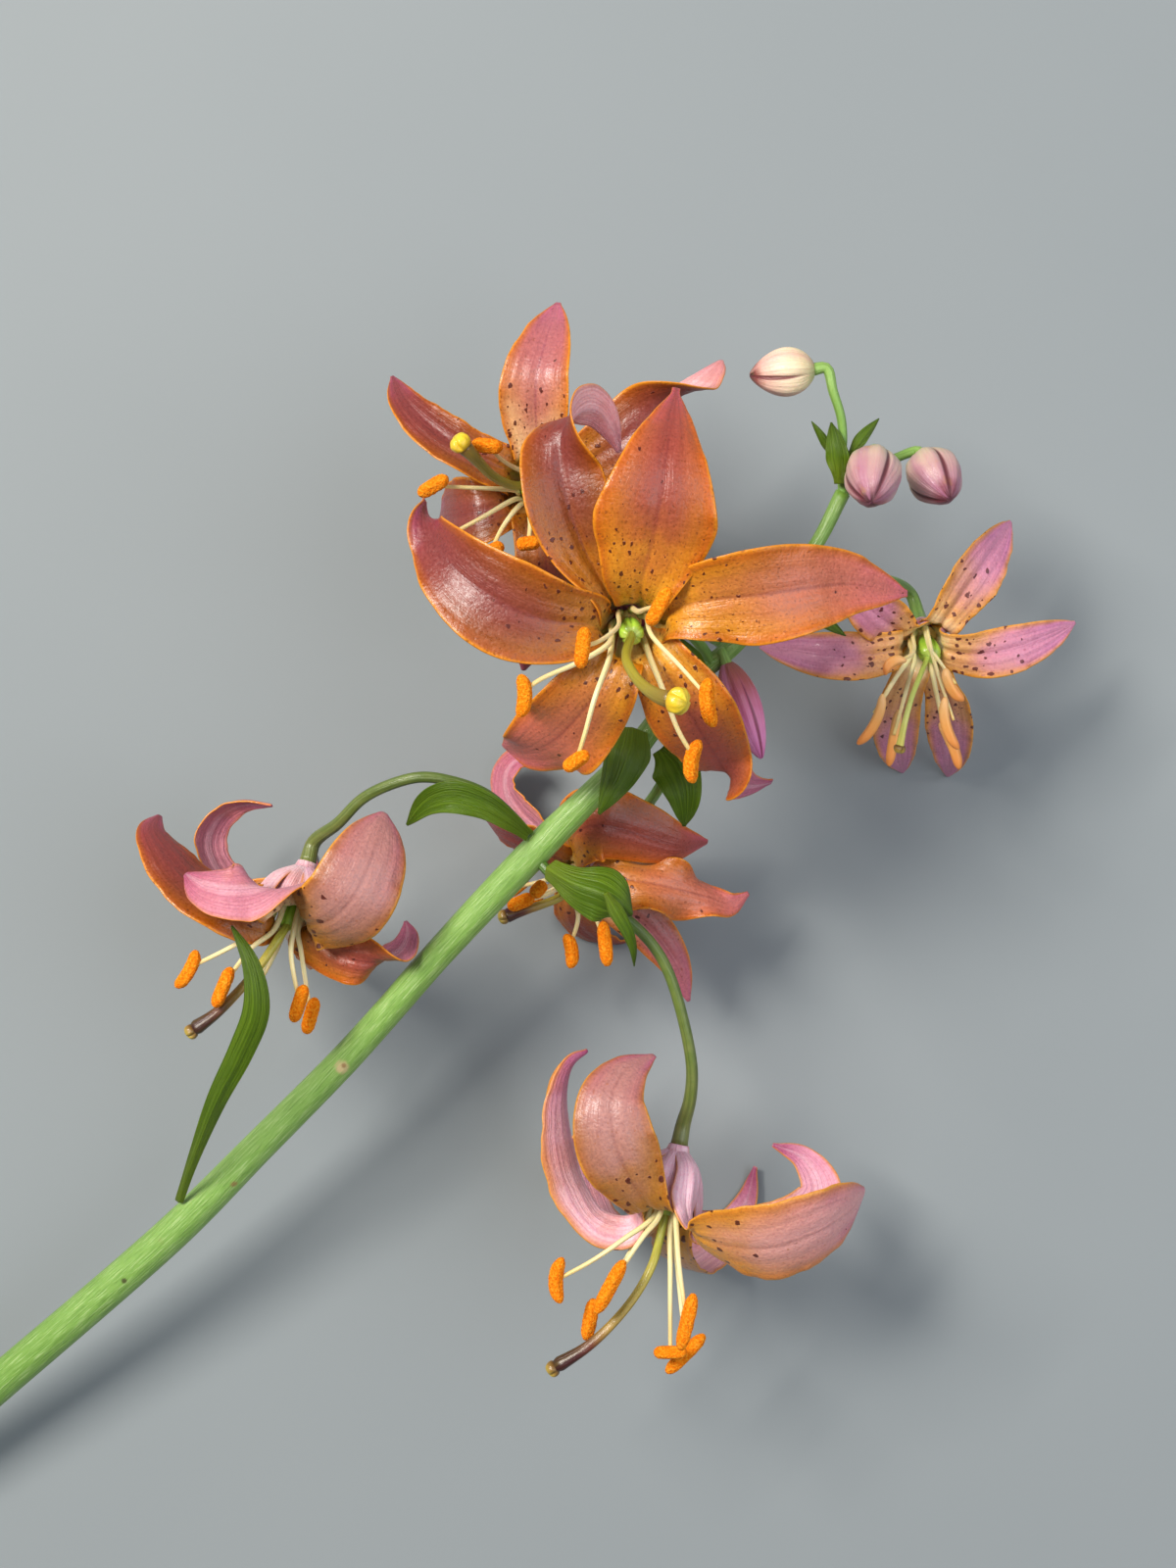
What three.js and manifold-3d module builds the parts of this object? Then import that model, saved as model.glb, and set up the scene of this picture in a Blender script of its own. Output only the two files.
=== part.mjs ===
// Martagon lily: one cut flowering stem with six open blooms, an opening bud and three closed buds,
// laid down on a surface. Millimetres, +Z up, the surface at z = 0.

import * as THREE from "three";
import { mergeVertices } from "three/addons/utils/BufferGeometryUtils.js";
import Module from "manifold-3d";

const wasm = await Module();
wasm.setup();

// Where things lie. A place is [px, py, height]: the pixel of a 1200 x 1600 picture in which an eye
// looking straight down sees it, and its height above the surface.
const eyeHeight = 460;
const scaleHeight = 40;
const mmPerPixel = 0.165; // at scaleHeight
const pictureCentre = [600, 800];
const middle = [-34.0437, -33.8932]; // centre of the whole lily at scaleHeight, which becomes the origin

// Sizes shared by all blooms
const petalThick = 0.9;
const leafThick = 0.9;
const hubLength = 3.6; // the solid foot of a bloom, where its six petals grow together
const hubFootRadius = 1.7;
const hubTopRadius = 2.8;
const clawFoot = 0.9; // how far up that foot the petals begin
const clawSunk = 0.3; // and how deep in it
const clawRadius = 3.6; // where the petals pass the top of that foot
const bellRadius = 5.3; // where the petals leave the bell
const whorlShift = 0.5; // three petals stand this much outside the mean, and three inside
const bellCup = 0.3; // how far the foot of a petal curves round the bell
const ringLength = 0.8; // the ring that carries the stamens
const ringRadius = 2;
const filamentCircle = 1.7;
const filamentFoot = 0.55;
const filamentTop = 0.4;
const filamentRise = 3; // over this length the filaments leave the ring
const filamentLean = 0.8; // and lean out by this much
const antherRadius = 1.25;
const antherBlunt = 0.35; // size of an anther's ends, as a share of its middle
const ovaryFoot = 1.05;
const ovaryTop = 1.5;
const ovaryLength = 7;
const styleFoot = 0.75;
const styleTop = 1.2;
const styleSunk = 1.5; // how far the style reaches down into the ovary
const stigmaRadius = 1.95;
const stigmaLength = 3;
const stigmaSpan = [-0.4, 0.6]; // its two ends, as shares of its length from the end of the style
const stigmaLobe = 0.12;
const stigmaRound = 0.75; // how far its ends draw in
const seatGap = 0.4; // between pieces that touch on the real stem
const stalkRadius = 0.95;
const stalkEnd = 1.5;
const stalkStraight = 3.5; // last part of a stalk, in line with its bloom
const budStalkRadius = 0.75;
const budStalkEnd = 1.1;
const budStalkStraight = 2;
const bladeTip = 0.07; // width of a petal's or leaf's tip, as a share of its widest place
const rippleHalves = 7; // half-waves along a waved edge
const rippleLag = 2; // by which the waves of one edge trail those of the other, in radians
const footCupTo = 0.15; // share of a petal's length up to which it curves round the bell
const cupFrom = 0.4; // and from which it has the cup of its blade

// Sides and steps of the round bodies
const hubGrid = [6, 1];
const filamentGrid = [3, 4];
const antherGrid = [5, 3];
const ovaryGrid = [6, 3];
const styleGrid = [5, 6];
const stigmaGrid = [6, 3];
const budGrid = [12, 5];
const stemGrid = [9, 20];
const stalkGrid = [5, 9];
const budStalkGrid = [5, 6];

// Colours
const stemGreen = 0x7fae55;
const leafGreen = 0x5e8c1f;
const petalOrange = 0xb5651d;
const petalSalmon = 0xd08a6a;
const petalMauve = 0xb0708a;
const budPink = 0xe0b8c0;
const pollenOrange = 0xf08a10;
const pistilGreen = 0x9aa83c;

function seen([px, py, height]) {
  const scale = (mmPerPixel * (eyeHeight - height)) / (eyeHeight - scaleHeight);
  return new THREE.Vector3(
    (px - pictureCentre[0]) * scale - middle[0],
    (pictureCentre[1] - py) * scale - middle[1],
    height,
  );
}

function smoothCurve(points) {
  return new THREE.CatmullRomCurve3(points, false, "centripetal");
}

// Frames along a curve that turn with it and never spin: where it is, where it heads, and its side.
function framesAlong(curve, places, firstSide) {
  const side = firstSide.clone();
  let last = curve.getTangentAt(0);
  return places.map((u) => {
    const heading = curve.getTangentAt(u);
    side.applyQuaternion(new THREE.Quaternion().setFromUnitVectors(last, heading));
    side.addScaledVector(heading, -side.dot(heading)).normalize();
    last = heading;
    return { u, at: curve.getPointAt(u), heading, side: side.clone() };
  });
}

// Places from 0 to 1 along a curve, with so many of the steps before the neck.
function placesAlong(steps, neck = 0, neckSteps = 0) {
  return Array.from({ length: steps + 1 }, (_, i) => {
    if (i < neckSteps) return (neck * i) / neckSteps;
    return THREE.MathUtils.lerp(neck, 1, (i - neckSteps) / (steps - neckSteps));
  });
}

// A round body along a curve. radius(u, angle) gives its size from foot (u = 0) to tip (u = 1).
function limb(points, radius, [sides, steps]) {
  const curve = smoothCurve(points);
  const start = curve.getTangentAt(0);
  const firstSide = Math.abs(start.z) < 0.9 ? new THREE.Vector3(0, 0, 1) : new THREE.Vector3(1, 0, 0);
  const frames = framesAlong(curve, placesAlong(steps), firstSide);
  const geometry = new THREE.CylinderGeometry(1, 1, 1, sides, steps);
  const place = geometry.getAttribute("position");
  for (let i = 0; i < place.count; i++) {
    const row = Math.round((place.getY(i) + 0.5) * steps);
    const { at, heading, side } = frames[row];
    const up = new THREE.Vector3().crossVectors(heading, side);
    const angle = Math.atan2(place.getZ(i), place.getX(i));
    const reach = Math.hypot(place.getX(i), place.getZ(i)) * radius(row / steps, angle);
    const point = at.clone();
    point.addScaledVector(side, reach * Math.sin(angle));
    point.addScaledVector(up, reach * Math.cos(angle));
    place.setXYZ(i, point.x, point.y, point.z);
  }
  return geometry;
}

const usualTaper = 0.8;

// Width of a blade at u: from its foot out to the neck, on to the widest place, and in to the tip.
function bladeWidthAt(u, { wide, footWide, neckWide, neck, belly, point, taper = usualTaper }) {
  if (u < neck) return THREE.MathUtils.lerp(footWide, neckWide, u / neck);
  if (u < belly) return THREE.MathUtils.lerp(neckWide, wide, THREE.MathUtils.smoothstep(u, neck, belly));
  const rest = (u - belly) / (1 - belly);
  return wide * Math.max(bladeTip, (1 - rest ** point) ** taper);
}

// A value that passes smoothly through a list of [u, value].
function valueAt(list, u) {
  const next = list.findIndex(([place]) => place > u);
  if (next === 0) return list[0][1];
  if (next < 0) return list[list.length - 1][1];
  const [[from, low], [to, high]] = [list[next - 1], list[next]];
  return THREE.MathUtils.lerp(low, high, THREE.MathUtils.smoothstep(u, from, to));
}

// A petal or leaf: a thin sheet along its midrib, cupped or folded across, with waved edges.
function blade(points, firstSide, look) {
  const { thick, steps, across, neck, neckSteps, footCup = 0 } = look;
  const { cup = 0, fold = 0, wave = 0, turns = [[0, 0]], shift = [[0, 0]] } = look;
  const frames = framesAlong(smoothCurve(points), placesAlong(steps, neck, neckSteps), firstSide);
  const sheet = new THREE.PlaneGeometry(2, 1, across, steps);
  const place = sheet.getAttribute("position");
  const count = place.count;
  for (let i = 0; i < count; i++) {
    const row = Math.floor(i / (across + 1));
    const v = place.getX(i);
    const { u, at, heading } = frames[row];
    const angle = THREE.MathUtils.degToRad(valueAt(turns, u) + valueAt(shift, u));
    const side = frames[row].side.clone().applyAxisAngle(heading, angle);
    const face = new THREE.Vector3().crossVectors(heading, side);
    const half = bladeWidthAt(u, look) / 2;
    const ripple = wave * Math.sin(rippleHalves * Math.PI * u + (v > 0 ? 0 : rippleLag)) * v * v;
    const bend = valueAt([[footCupTo, footCup], [cupFrom, cup]], u);
    const lift = half * (fold * Math.abs(v) + bend * v * v) + ripple * (half / look.wide);
    const point = at.clone().addScaledVector(side, half * v).addScaledVector(face, lift);
    place.setXYZ(i, point.x, point.y, point.z);
  }
  return thicken(sheet, thick, across, steps);
}

// Gives a sheet its thickness, with the same diagonals on both faces.
function thicken(sheet, thick, across, steps) {
  sheet.computeVertexNormals();
  const place = sheet.getAttribute("position");
  const normal = sheet.getAttribute("normal");
  const count = place.count;
  const points = new Float32Array(count * 6);
  for (let i = 0; i < count; i++) {
    for (const [half, shift] of [[0, 0.5], [1, -0.5]]) {
      const to = 3 * (i + half * count);
      points[to] = place.getX(i) + normal.getX(i) * thick * shift;
      points[to + 1] = place.getY(i) + normal.getY(i) * thick * shift;
      points[to + 2] = Math.max(0, place.getZ(i) + normal.getZ(i) * thick * shift);
    }
  }
  const faces = [];
  const index = sheet.getIndex().array;
  for (let i = 0; i < index.length; i += 3) {
    const [a, b, c] = [index[i], index[i + 1], index[i + 2]];
    faces.push(a, b, c, a + count, c + count, b + count);
  }
  const border = borderOf(across, steps);
  border.forEach((a, i) => {
    const b = border[(i + 1) % border.length];
    faces.push(a, a + count, b + count, a, b + count, b);
  });
  const solid = new THREE.BufferGeometry();
  solid.setAttribute("position", new THREE.BufferAttribute(points, 3));
  solid.setIndex(faces);
  return solid;
}

// The sheet's border vertices, in order against the clock as the front face is seen.
function borderOf(across, steps) {
  const width = across + 1;
  const border = [];
  for (let j = 0; j < steps; j++) border.push(j * width);
  for (let i = 0; i < across; i++) border.push(steps * width + i);
  for (let j = steps; j > 0; j--) border.push(j * width + across);
  for (let i = across; i > 0; i--) border.push(i);
  return border;
}

// Joins closed bodies that run into each other into one.
function join(bodies) {
  const solids = bodies.map((body) => {
    const bare = body.clone();
    bare.deleteAttribute("normal");
    bare.deleteAttribute("uv");
    const merged = mergeVertices(bare, 1e-4);
    const vertProperties = new Float32Array(merged.getAttribute("position").array);
    const triVerts = new Uint32Array(merged.getIndex().array);
    return new wasm.Manifold(new wasm.Mesh({ numProp: 3, vertProperties, triVerts }));
  });
  const whole = solids.reduce((sum, solid) => sum.add(solid)).getMesh();
  const geometry = new THREE.BufferGeometry();
  geometry.setAttribute("position", new THREE.BufferAttribute(whole.vertProperties, 3));
  geometry.setIndex(new THREE.BufferAttribute(whole.triVerts, 1));
  return geometry;
}

const lily = new THREE.Group();

function addPiece(name, bodies, color, roughness = 0.55) {
  const material = new THREE.MeshStandardMaterial({ color, roughness, metalness: 0 });
  const mesh = new THREE.Mesh(join(bodies), material);
  mesh.name = name;
  lily.add(mesh);
}

// Blooms. seat is where the flower stalk meets the bloom, mouth the way it faces, bell the length of
// the closed foot of its petals. Each petal's rib, each stamen and the style go on from the bell.
const blooms = [
  {
    name: "bloom_a",
    color: petalOrange,
    seat: [640, 626, 56],
    mouth: [0.05, -0.35, 0.93],
    bell: 8,
    stalk: [[728, 678, 45], [712, 655, 44], [690, 632, 45], [665, 612, 48]],
    petals: [
      {
        wide: 19.5, cup: -0.1, fold: 0.12, belly: 0.5, point: 1.15, taper: 1.05,
        rib: [
          [654, 594, 72], [664, 555, 76], [673, 508, 79], [680, 462, 78], [686, 425, 73],
          [690, 396, 67],
        ],
      },
      {
        wide: 15.5, cup: 0.1, fold: 0.12, belly: 0.5, point: 1.5, turns: [[0.4, 0], [0.7, -20]],
        rib: [
          [686, 622, 69], [730, 611, 73], [780, 606, 74], [825, 600, 72], [862, 596, 68],
          [895, 600, 64], [926, 606, 60],
        ],
      },
      {
        wide: 14.5, cup: -0.1, belly: 0.46, point: 1.3, turns: [[0.7, 0], [0.84, 150]], steps: 9,
        rib: [
          [668, 668, 67], [688, 700, 68], [707, 733, 66], [725, 762, 61], [741, 786, 55],
          [755, 800, 50], [771, 801, 46.5], [788, 797, 44],
        ],
      },
      {
        wide: 15.5, cup: 0.1, wave: 1.6, belly: 0.58, point: 2.1,
        rib: [
          [628, 672, 67], [612, 702, 67.5], [590, 730, 64.5], [566, 754, 59.5], [540, 765, 53],
          [514, 762, 47],
        ],
      },
      {
        wide: 15.8, cup: 0.15, fold: 0.1, belly: 0.5, point: 1.4, taper: 0.9,
        turns: [[0.82, 0], [0.96, 110]], steps: 9,
        rib: [
          [606, 638, 69], [562, 634, 73], [510, 615, 74], [466, 582, 72], [443, 553, 68],
          [431, 528, 64], [433, 510, 60],
        ],
      },
      {
        wide: 13.5, fold: 0.35, belly: 0.5, point: 1.4,
        turns: [[0.2, 0], [0.4, -14], [0.55, -14], [0.85, -130]], steps: 9,
        rib: [
          [620, 606, 67], [598, 565, 69], [580, 515, 71], [572, 470, 71], [578, 436, 71],
          [596, 417, 69.5], [612, 420, 67], [624, 438, 65], [632, 462, 63],
        ],
      },
    ],
    stamens: [
      {
        filament: [[652, 624, 75], [661, 621, 82], [672, 619, 86]],
        anther: [[683, 600, 87], [662, 638, 85]],
      },
      {
        filament: [[630, 640, 74], [610, 655, 81], [594, 660, 84]],
        anther: [[597, 640, 85], [592, 682, 83]],
      },
      {
        filament: [[620, 658, 73], [588, 677, 77], [552, 693, 79], [529, 709, 80]],
        anther: [[532, 688, 80], [531, 732, 79]], bow: -0.6,
      },
      {
        filament: [[621, 674, 73.5], [607, 712, 76], [597, 748, 75], [588, 777, 73]],
        anther: [[600, 768, 74], [576, 785, 72]],
      },
      {
        filament: [[664, 673, 70], [677, 705, 76.5], [692, 745, 77], [711, 777, 75]],
        anther: [[713, 755, 76], [706, 799, 74]], bow: 0.6,
      },
      {
        filament: [[666, 650, 74], [694, 680, 80], [726, 716, 83]],
        anther: [[722, 692, 84], [728, 742, 82]], bow: 0.5,
      },
    ],
    style: [[640, 675, 81], [655, 698, 87], [674, 711, 91], [690, 715, 93]],
  },
  {
    name: "bloom_b",
    color: petalOrange,
    seat: [556, 497, 30],
    mouth: [-0.22, -0.1, 0.97],
    bell: 8,
    stalk: [[745, 662, 44], [712, 640, 38], [665, 590, 27], [618, 535, 20]],
    petals: [
      {
        wide: 12, cup: 0.15, fold: 0.1, steps: 7,
        rib: [[550, 462, 42], [547, 425, 46], [548, 385, 48], [558, 346, 46], [570, 309, 41]],
      },
      {
        wide: 9, cup: 0.15, turns: [[0.15, 0], [0.5, 45]], steps: 7,
        rib: [[518, 480, 42], [478, 462, 45], [441, 438, 44], [413, 410, 41], [400, 384, 36]],
      },
      {
        wide: 13, cup: 0.1, belly: 0.6, point: 2.2, steps: 7,
        rib: [[514, 515, 40], [490, 523, 41], [468, 526, 38], [455, 527, 32], [450, 527, 25]],
      },
      {
        wide: 11.5, cup: -0.15, steps: 7,
        rib: [[545, 530, 41], [556, 565, 43], [556, 605, 39], [547, 645, 32], [534, 684, 24]],
      },
      {
        wide: 13, cup: 0.1, belly: 0.6, point: 2, turns: [[0.55, 0], [0.8, 125]], steps: 9,
        rib: [
          [576, 484, 43], [613, 464, 47], [650, 438, 49], [686, 410, 48], [713, 388, 44],
          [736, 368, 38],
        ],
      },
      {
        wide: 11, cup: -0.1, across: 2, steps: 6,
        rib: [[586, 502, 38], [625, 506, 37], [660, 511, 29], [682, 515, 17], [690, 517, 0.2]],
      },
    ],
    stamens: [
      {
        filament: [[538, 482, 44], [516, 472, 51], [497, 455, 56]],
        anther: [[513, 457, 56], [481, 453, 56]],
      },
      {
        filament: [[524, 500, 45], [488, 498, 52], [444, 496, 56]],
        anther: [[457, 487, 57], [427, 505, 55]],
      },
      {
        filament: [[524, 510, 44], [492, 528, 49], [455, 548, 52]],
        anther: [[440, 545, 52], [470, 551, 52]],
      },
      {
        filament: [[530, 516, 44], [513, 538, 48], [501, 562, 50]],
        anther: [[514, 556, 50], [487, 569, 50]],
      },
      {
        filament: [[540, 515, 44], [541, 535, 47], [539, 555, 50]],
        anther: [[527, 556, 50], [551, 553, 50]],
      },
      {
        filament: [[544, 492, 45], [552, 482, 49], [560, 470, 53]],
        anther: [[552, 458, 54], [568, 482, 53]],
      },
    ],
    style: [[518, 494, 50], [501, 484, 54], [489, 472, 57], [480, 462, 59], [471, 453, 60]],
  },
  {
    name: "bloom_c",
    color: petalOrange,
    seat: [314, 880, 33],
    mouth: [-0.26, -0.94, 0.22],
    bell: 9,
    claws: { footWide: 3.2, neckWide: 8.2, footCup: 0.4, widen: 0.8 },
    stalk: [
      [550, 866, 37.5], [524, 835, 39], [495, 810, 41.3], [460, 797, 42], [430, 793, 42],
      [400, 800, 41], [370, 815, 39], [345, 840, 37],
    ],
    petals: [
      {
        wide: 13, cup: -0.2, turns: [[0.2, 0], [0.5, 75]],
        rib: [
          [278, 934, 38], [252, 928, 40], [222, 916, 41], [192, 895, 40], [169, 868, 38],
          [156, 846, 35], [163, 832, 31],
        ],
      },
      {
        wide: 9, cup: -0.3, belly: 0.4, point: 2, turns: [[0.15, 0], [0.45, -130]],
        rib: [
          [284, 925, 31], [250, 915, 26], [222, 890, 22], [211, 860, 20], [222, 834, 20],
          [248, 820, 21], [278, 822, 24],
        ],
      },
      {
        wide: 12.5, cup: 0.1, turns: [[0.2, 0], [0.35, 35], [0.65, -75]],
        rib: [
          [290, 920, 43], [275, 908, 47], [255, 908, 49], [232, 908, 50], [208, 903, 48],
          [189, 892, 44],
        ],
      },
      {
        wide: 15, cup: -0.15, point: 3,
        rib: [
          [312, 940, 43], [332, 940, 47], [356, 920, 50], [375, 884, 49], [387, 852, 46],
          [392, 829, 42],
        ],
      },
      {
        wide: 9.5, cup: -0.1, turns: [[0.2, 0], [0.42, -35], [0.6, -35], [0.8, 70]],
        rib: [
          [312, 948, 36], [334, 968, 37], [362, 979, 39], [389, 980, 38], [407, 972, 36],
          [416, 956, 33], [414, 940, 30],
        ],
      },
      {
        wide: 11, cup: -0.1, across: 2, steps: 6,
        rib: [
          [299, 945, 29], [298, 962, 22], [301, 962, 13], [309, 938, 4], [318, 902, 0.2],
          [322, 872, 0.2],
        ],
      },
    ],
    stamens: [
      {
        filament: [[274, 942, 37], [240, 964, 41], [190, 989, 42]],
        anther: [[201, 970, 42], [180, 1008, 41]], bow: -0.5,
      },
      {
        filament: [[280, 948, 39], [256, 968, 42], [228, 1005, 45.3]],
        anther: [[236, 987, 45.3], [219, 1028, 45.3]],
      },
      {
        filament: [[300, 948, 39], [297, 972, 40], [305, 1022, 41]],
        anther: [[311, 1005, 41], [299, 1043, 41]],
      },
      {
        filament: [[304, 948, 37], [307, 970, 36], [317, 1035, 36]],
        anther: [[322, 1018, 36], [312, 1055, 36]],
      },
      {
        filament: [[284, 950, 34], [270, 985, 33], [257, 1030, 33]],
        anther: [[261, 1012, 34], [253, 1048, 33]],
      },
      {
        filament: [[290, 950, 33], [277, 980, 30], [260, 1010, 28]],
        anther: [[266, 992, 28], [255, 1026, 28]],
      },
    ],
    style: [
      [286, 955, 39], [275, 972, 40], [262, 990, 41], [245, 1010, 42], [222, 1033, 43],
      [196, 1052, 43],
    ],
  },
  {
    name: "bloom_d",
    color: petalOrange,
    seat: [622, 866, 15],
    mouth: [-0.72, -0.6, 0.34],
    bell: 8,
    stalk: [[716, 690, 43], [702, 732, 41], [690, 770, 38], [672, 805, 31], [650, 835, 20]],
    petals: [
      {
        wide: 13.5, cup: -0.2, belly: 0.44, point: 1.8, turns: [[0.3, 0], [0.6, 10]],
        rib: [
          [586, 872, 23], [588, 850, 29], [612, 842, 32], [652, 851, 30], [692, 862, 27],
          [722, 859, 22],
        ],
      },
      {
        wide: 11, cup: -0.1, wave: 3, belly: 0.5,
        rib: [
          [598, 893, 24], [632, 897, 28], [675, 904, 28], [718, 915, 25], [745, 923, 22],
          [764, 911, 20],
        ],
      },
      {
        wide: 8.6, cup: -0.15, turns: [[0.2, 0], [0.45, 75]],
        rib: [[598, 905, 19], [630, 922, 22], [664, 950, 20], [690, 985, 17], [703, 1022, 14]],
      },
      {
        wide: 9, cup: -0.1, steps: 7,
        rib: [[588, 912, 14], [588, 938, 9], [605, 956, 4], [632, 962, 0.4], [656, 954, 1]],
      },
      {
        wide: 10.6, cup: -0.2, belly: 0.56, point: 1.8, turns: [[0.15, 0], [0.42, 140]],
        rib: [
          [572, 870, 15], [550, 850, 11], [530, 830, 8], [518, 808, 6.5], [519, 786, 7], [533, 775, 9],
          [545, 781, 11],
        ],
      },
      {
        wide: 9, cup: -0.1, across: 2, steps: 6,
        rib: [[574, 880, 21], [552, 866, 22], [528, 856, 20], [508, 847, 16], [497, 836, 11]],
      },
    ],
    stamens: [
      {
        filament: [[578, 900, 23], [560, 912, 25], [533, 920, 27]],
        anther: [[545, 915, 27], [518, 926, 27]],
      },
      {
        filament: [[578, 895, 24], [565, 902, 27], [549, 908, 29]],
        anther: [[556, 900, 29], [543, 915, 29]],
      },
      {
        filament: [[584, 908, 21], [590, 935, 21], [581, 968, 21]],
        anther: [[578, 953, 22], [583, 988, 21]], bow: -0.5,
      },
      {
        filament: [[588, 905, 22], [605, 930, 24], [617, 962, 25]],
        anther: [[615, 940, 26], [620, 986, 25]],
      },
      {
        filament: [[574, 892, 21], [550, 900, 20], [528, 905, 18]],
        anther: [[538, 897, 18], [519, 912, 17]],
      },
      {
        filament: [[578, 900, 17], [563, 908, 13], [548, 915, 10]],
        anther: [[556, 905, 10], [540, 925, 9]],
      },
    ],
    style: [[572, 915, 22], [556, 922, 23], [538, 928, 24], [515, 935, 24]],
  },
  {
    name: "bloom_e",
    color: petalMauve,
    seat: [940, 638, 22],
    mouth: [0.02, -0.5, 0.86],
    bell: 6.5,
    claws: { footWide: 2.6, neckWide: 6.6, footCup: 0.3 },
    antherSize: 0.8, // not yet open
    pistilSize: 0.6,
    stalk: [
      [785, 618, 45], [815, 612, 42], [850, 600, 36], [885, 592, 29], [912, 594, 22.5],
      [930, 607, 17.5],
    ],
    petals: [
      {
        wide: 9.6, cup: 0.1, fold: 0.1, steps: 6,
        rib: [[960, 636, 31], [984, 603, 33], [1006, 572, 32], [1021, 549, 29], [1031, 532, 26]],
      },
      {
        wide: 8.6, cup: 0.1, turns: [[0.2, 0], [0.5, -40]], steps: 6,
        rib: [[964, 662, 31], [997, 668, 32], [1035, 662, 31], [1070, 649, 28], [1097, 635, 24]],
      },
      {
        wide: 8.6, cup: 0.1, steps: 6,
        rib: [[956, 684, 28], [966, 712, 24], [969, 745, 17], [970, 775, 8], [967, 792, 0.2]],
      },
      {
        wide: 8.4, cup: 0.1, steps: 6,
        rib: [[930, 684, 28], [919, 712, 23], [914, 745, 16], [917, 773, 8], [921, 788, 0.2]],
      },
      {
        wide: 8.6, cup: 0.1, turns: [[0.2, 0], [0.5, 40]], steps: 6,
        rib: [[916, 662, 31], [884, 669, 32], [845, 669, 31], [806, 664, 28], [775, 660, 24]],
      },
      {
        wide: 9.2, cup: 0.1, steps: 6,
        rib: [[922, 644, 31], [902, 632, 34.5], [882, 614, 37], [866, 595, 38], [855, 575, 37]],
      },
    ],
    stamens: [
      {
        filament: [[930, 668, 33], [915, 690, 36], [892, 728, 36]],
        anther: [[901, 708, 37], [875, 760, 34]], bow: -1,
      },
      {
        filament: [[933, 662, 34], [930, 668, 37], [915, 676, 39]],
        anther: [[925, 673, 39], [902, 688, 39]], bow: 1,
      },
      {
        filament: [[933, 672, 33], [926, 700, 34], [912, 750, 33]],
        anther: [[917, 724, 33], [907, 782, 31]],
      },
      {
        filament: [[951, 666, 35], [958, 690, 37.5], [973, 735, 37]],
        anther: [[964, 711, 38], [978, 765, 36]], bow: 1,
      },
      {
        filament: [[950, 682, 33], [955, 705, 33], [967, 760, 31]],
        anther: [[959, 737, 32], [979, 785, 30]], bow: -0.5,
      },
      {
        filament: [[949, 662, 34], [958, 674, 37], [975, 698, 39]],
        anther: [[964, 682, 39], [983, 716, 38]], bow: 0.6,
      },
    ],
    style: [[938, 692, 36], [931, 710, 38], [924, 735, 39], [918, 763, 38]],
  },
  {
    name: "bloom_f",
    color: petalSalmon,
    seat: [693, 1168, 33],
    mouth: [-0.2, -0.97, 0.12],
    bell: 10.5,
    claws: { footWide: 3.2, neckWide: 7.4, footCup: 0.4, widen: 0.8 },
    stalk: [
      [545, 873, 37.5], [566, 895, 39.5], [600, 916, 41], [630, 931, 41], [650, 947, 41],
      [668, 967, 40.5], [682, 992, 40], [697, 1040, 39], [706, 1090, 37], [704, 1122, 35],
    ],
    petals: [
      {
        wide: 12.5, cup: 0.85, turns: [[0.2, 0], [0.5, 32]],
        rib: [
          [646, 1242, 33], [616, 1238, 32], [596, 1210, 31], [582, 1162, 31], [577, 1115, 31],
          [584, 1086, 31], [600, 1072, 30],
        ],
      },
      {
        wide: 13.8, cup: -0.2, fold: 0.1, turns: [[0.2, 0], [0.45, 28]],
        rib: [
          [664, 1232, 41], [642, 1200, 46], [626, 1160, 48], [624, 1120, 47], [640, 1092, 43],
          [668, 1077, 38],
        ],
      },
      {
        wide: 12, cup: -0.15, across: 2,
        rib: [
          [664, 1250, 28], [638, 1262, 21], [612, 1250, 15], [596, 1215, 10], [588, 1175, 8],
          [592, 1145, 9],
        ],
      },
      {
        wide: 17, cup: -0.1, point: 2.8, turns: [[0.1, 0], [0.35, -65]],
        rib: [
          [708, 1256, 40], [744, 1270, 45], [790, 1271, 48], [835, 1255, 47], [866, 1235, 43],
          [882, 1214, 38],
        ],
      },
      {
        wide: 11, cup: -0.1, across: 2,
        rib: [
          [688, 1262, 27], [690, 1286, 19], [704, 1288, 9], [736, 1264, 1.0], [762, 1225, 0.2],
          [771, 1190, 1.5],
        ],
      },
      {
        wide: 10, cup: -0.25, turns: [[0.3, 0], [0.7, 30]],
        rib: [
          [708, 1248, 33], [762, 1258, 31], [812, 1248, 28], [837, 1216, 25], [820, 1183, 23],
          [788, 1168, 23],
        ],
      },
    ],
    stamens: [
      {
        filament: [[668, 1240, 38], [637, 1264, 40], [605, 1286, 41], [568, 1306, 42]],
        anther: [[573, 1283, 42], [571, 1330, 42]], bow: 0.8,
      },
      {
        filament: [[672, 1242, 39], [656, 1262, 42], [623, 1312, 44]],
        anther: [[637, 1286, 44], [608, 1340, 44]],
      },
      {
        filament: [[660, 1243, 34], [636, 1290, 35], [602, 1346, 36]],
        anther: [[606, 1325, 36], [598, 1368, 36]],
      },
      {
        filament: [[690, 1245, 39], [693, 1292, 43], [701, 1348, 45]],
        anther: [[708, 1320, 45], [694, 1378, 45]],
      },
      {
        filament: [[685, 1248, 36], [684, 1300, 39], [684, 1380, 41]],
        anther: [[667, 1380, 41], [701, 1380, 41]],
      },
      {
        filament: [[688, 1248, 32], [692, 1300, 33], [700, 1381, 37]],
        anther: [[719, 1362, 37], [680, 1401, 37]],
      },
    ],
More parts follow.
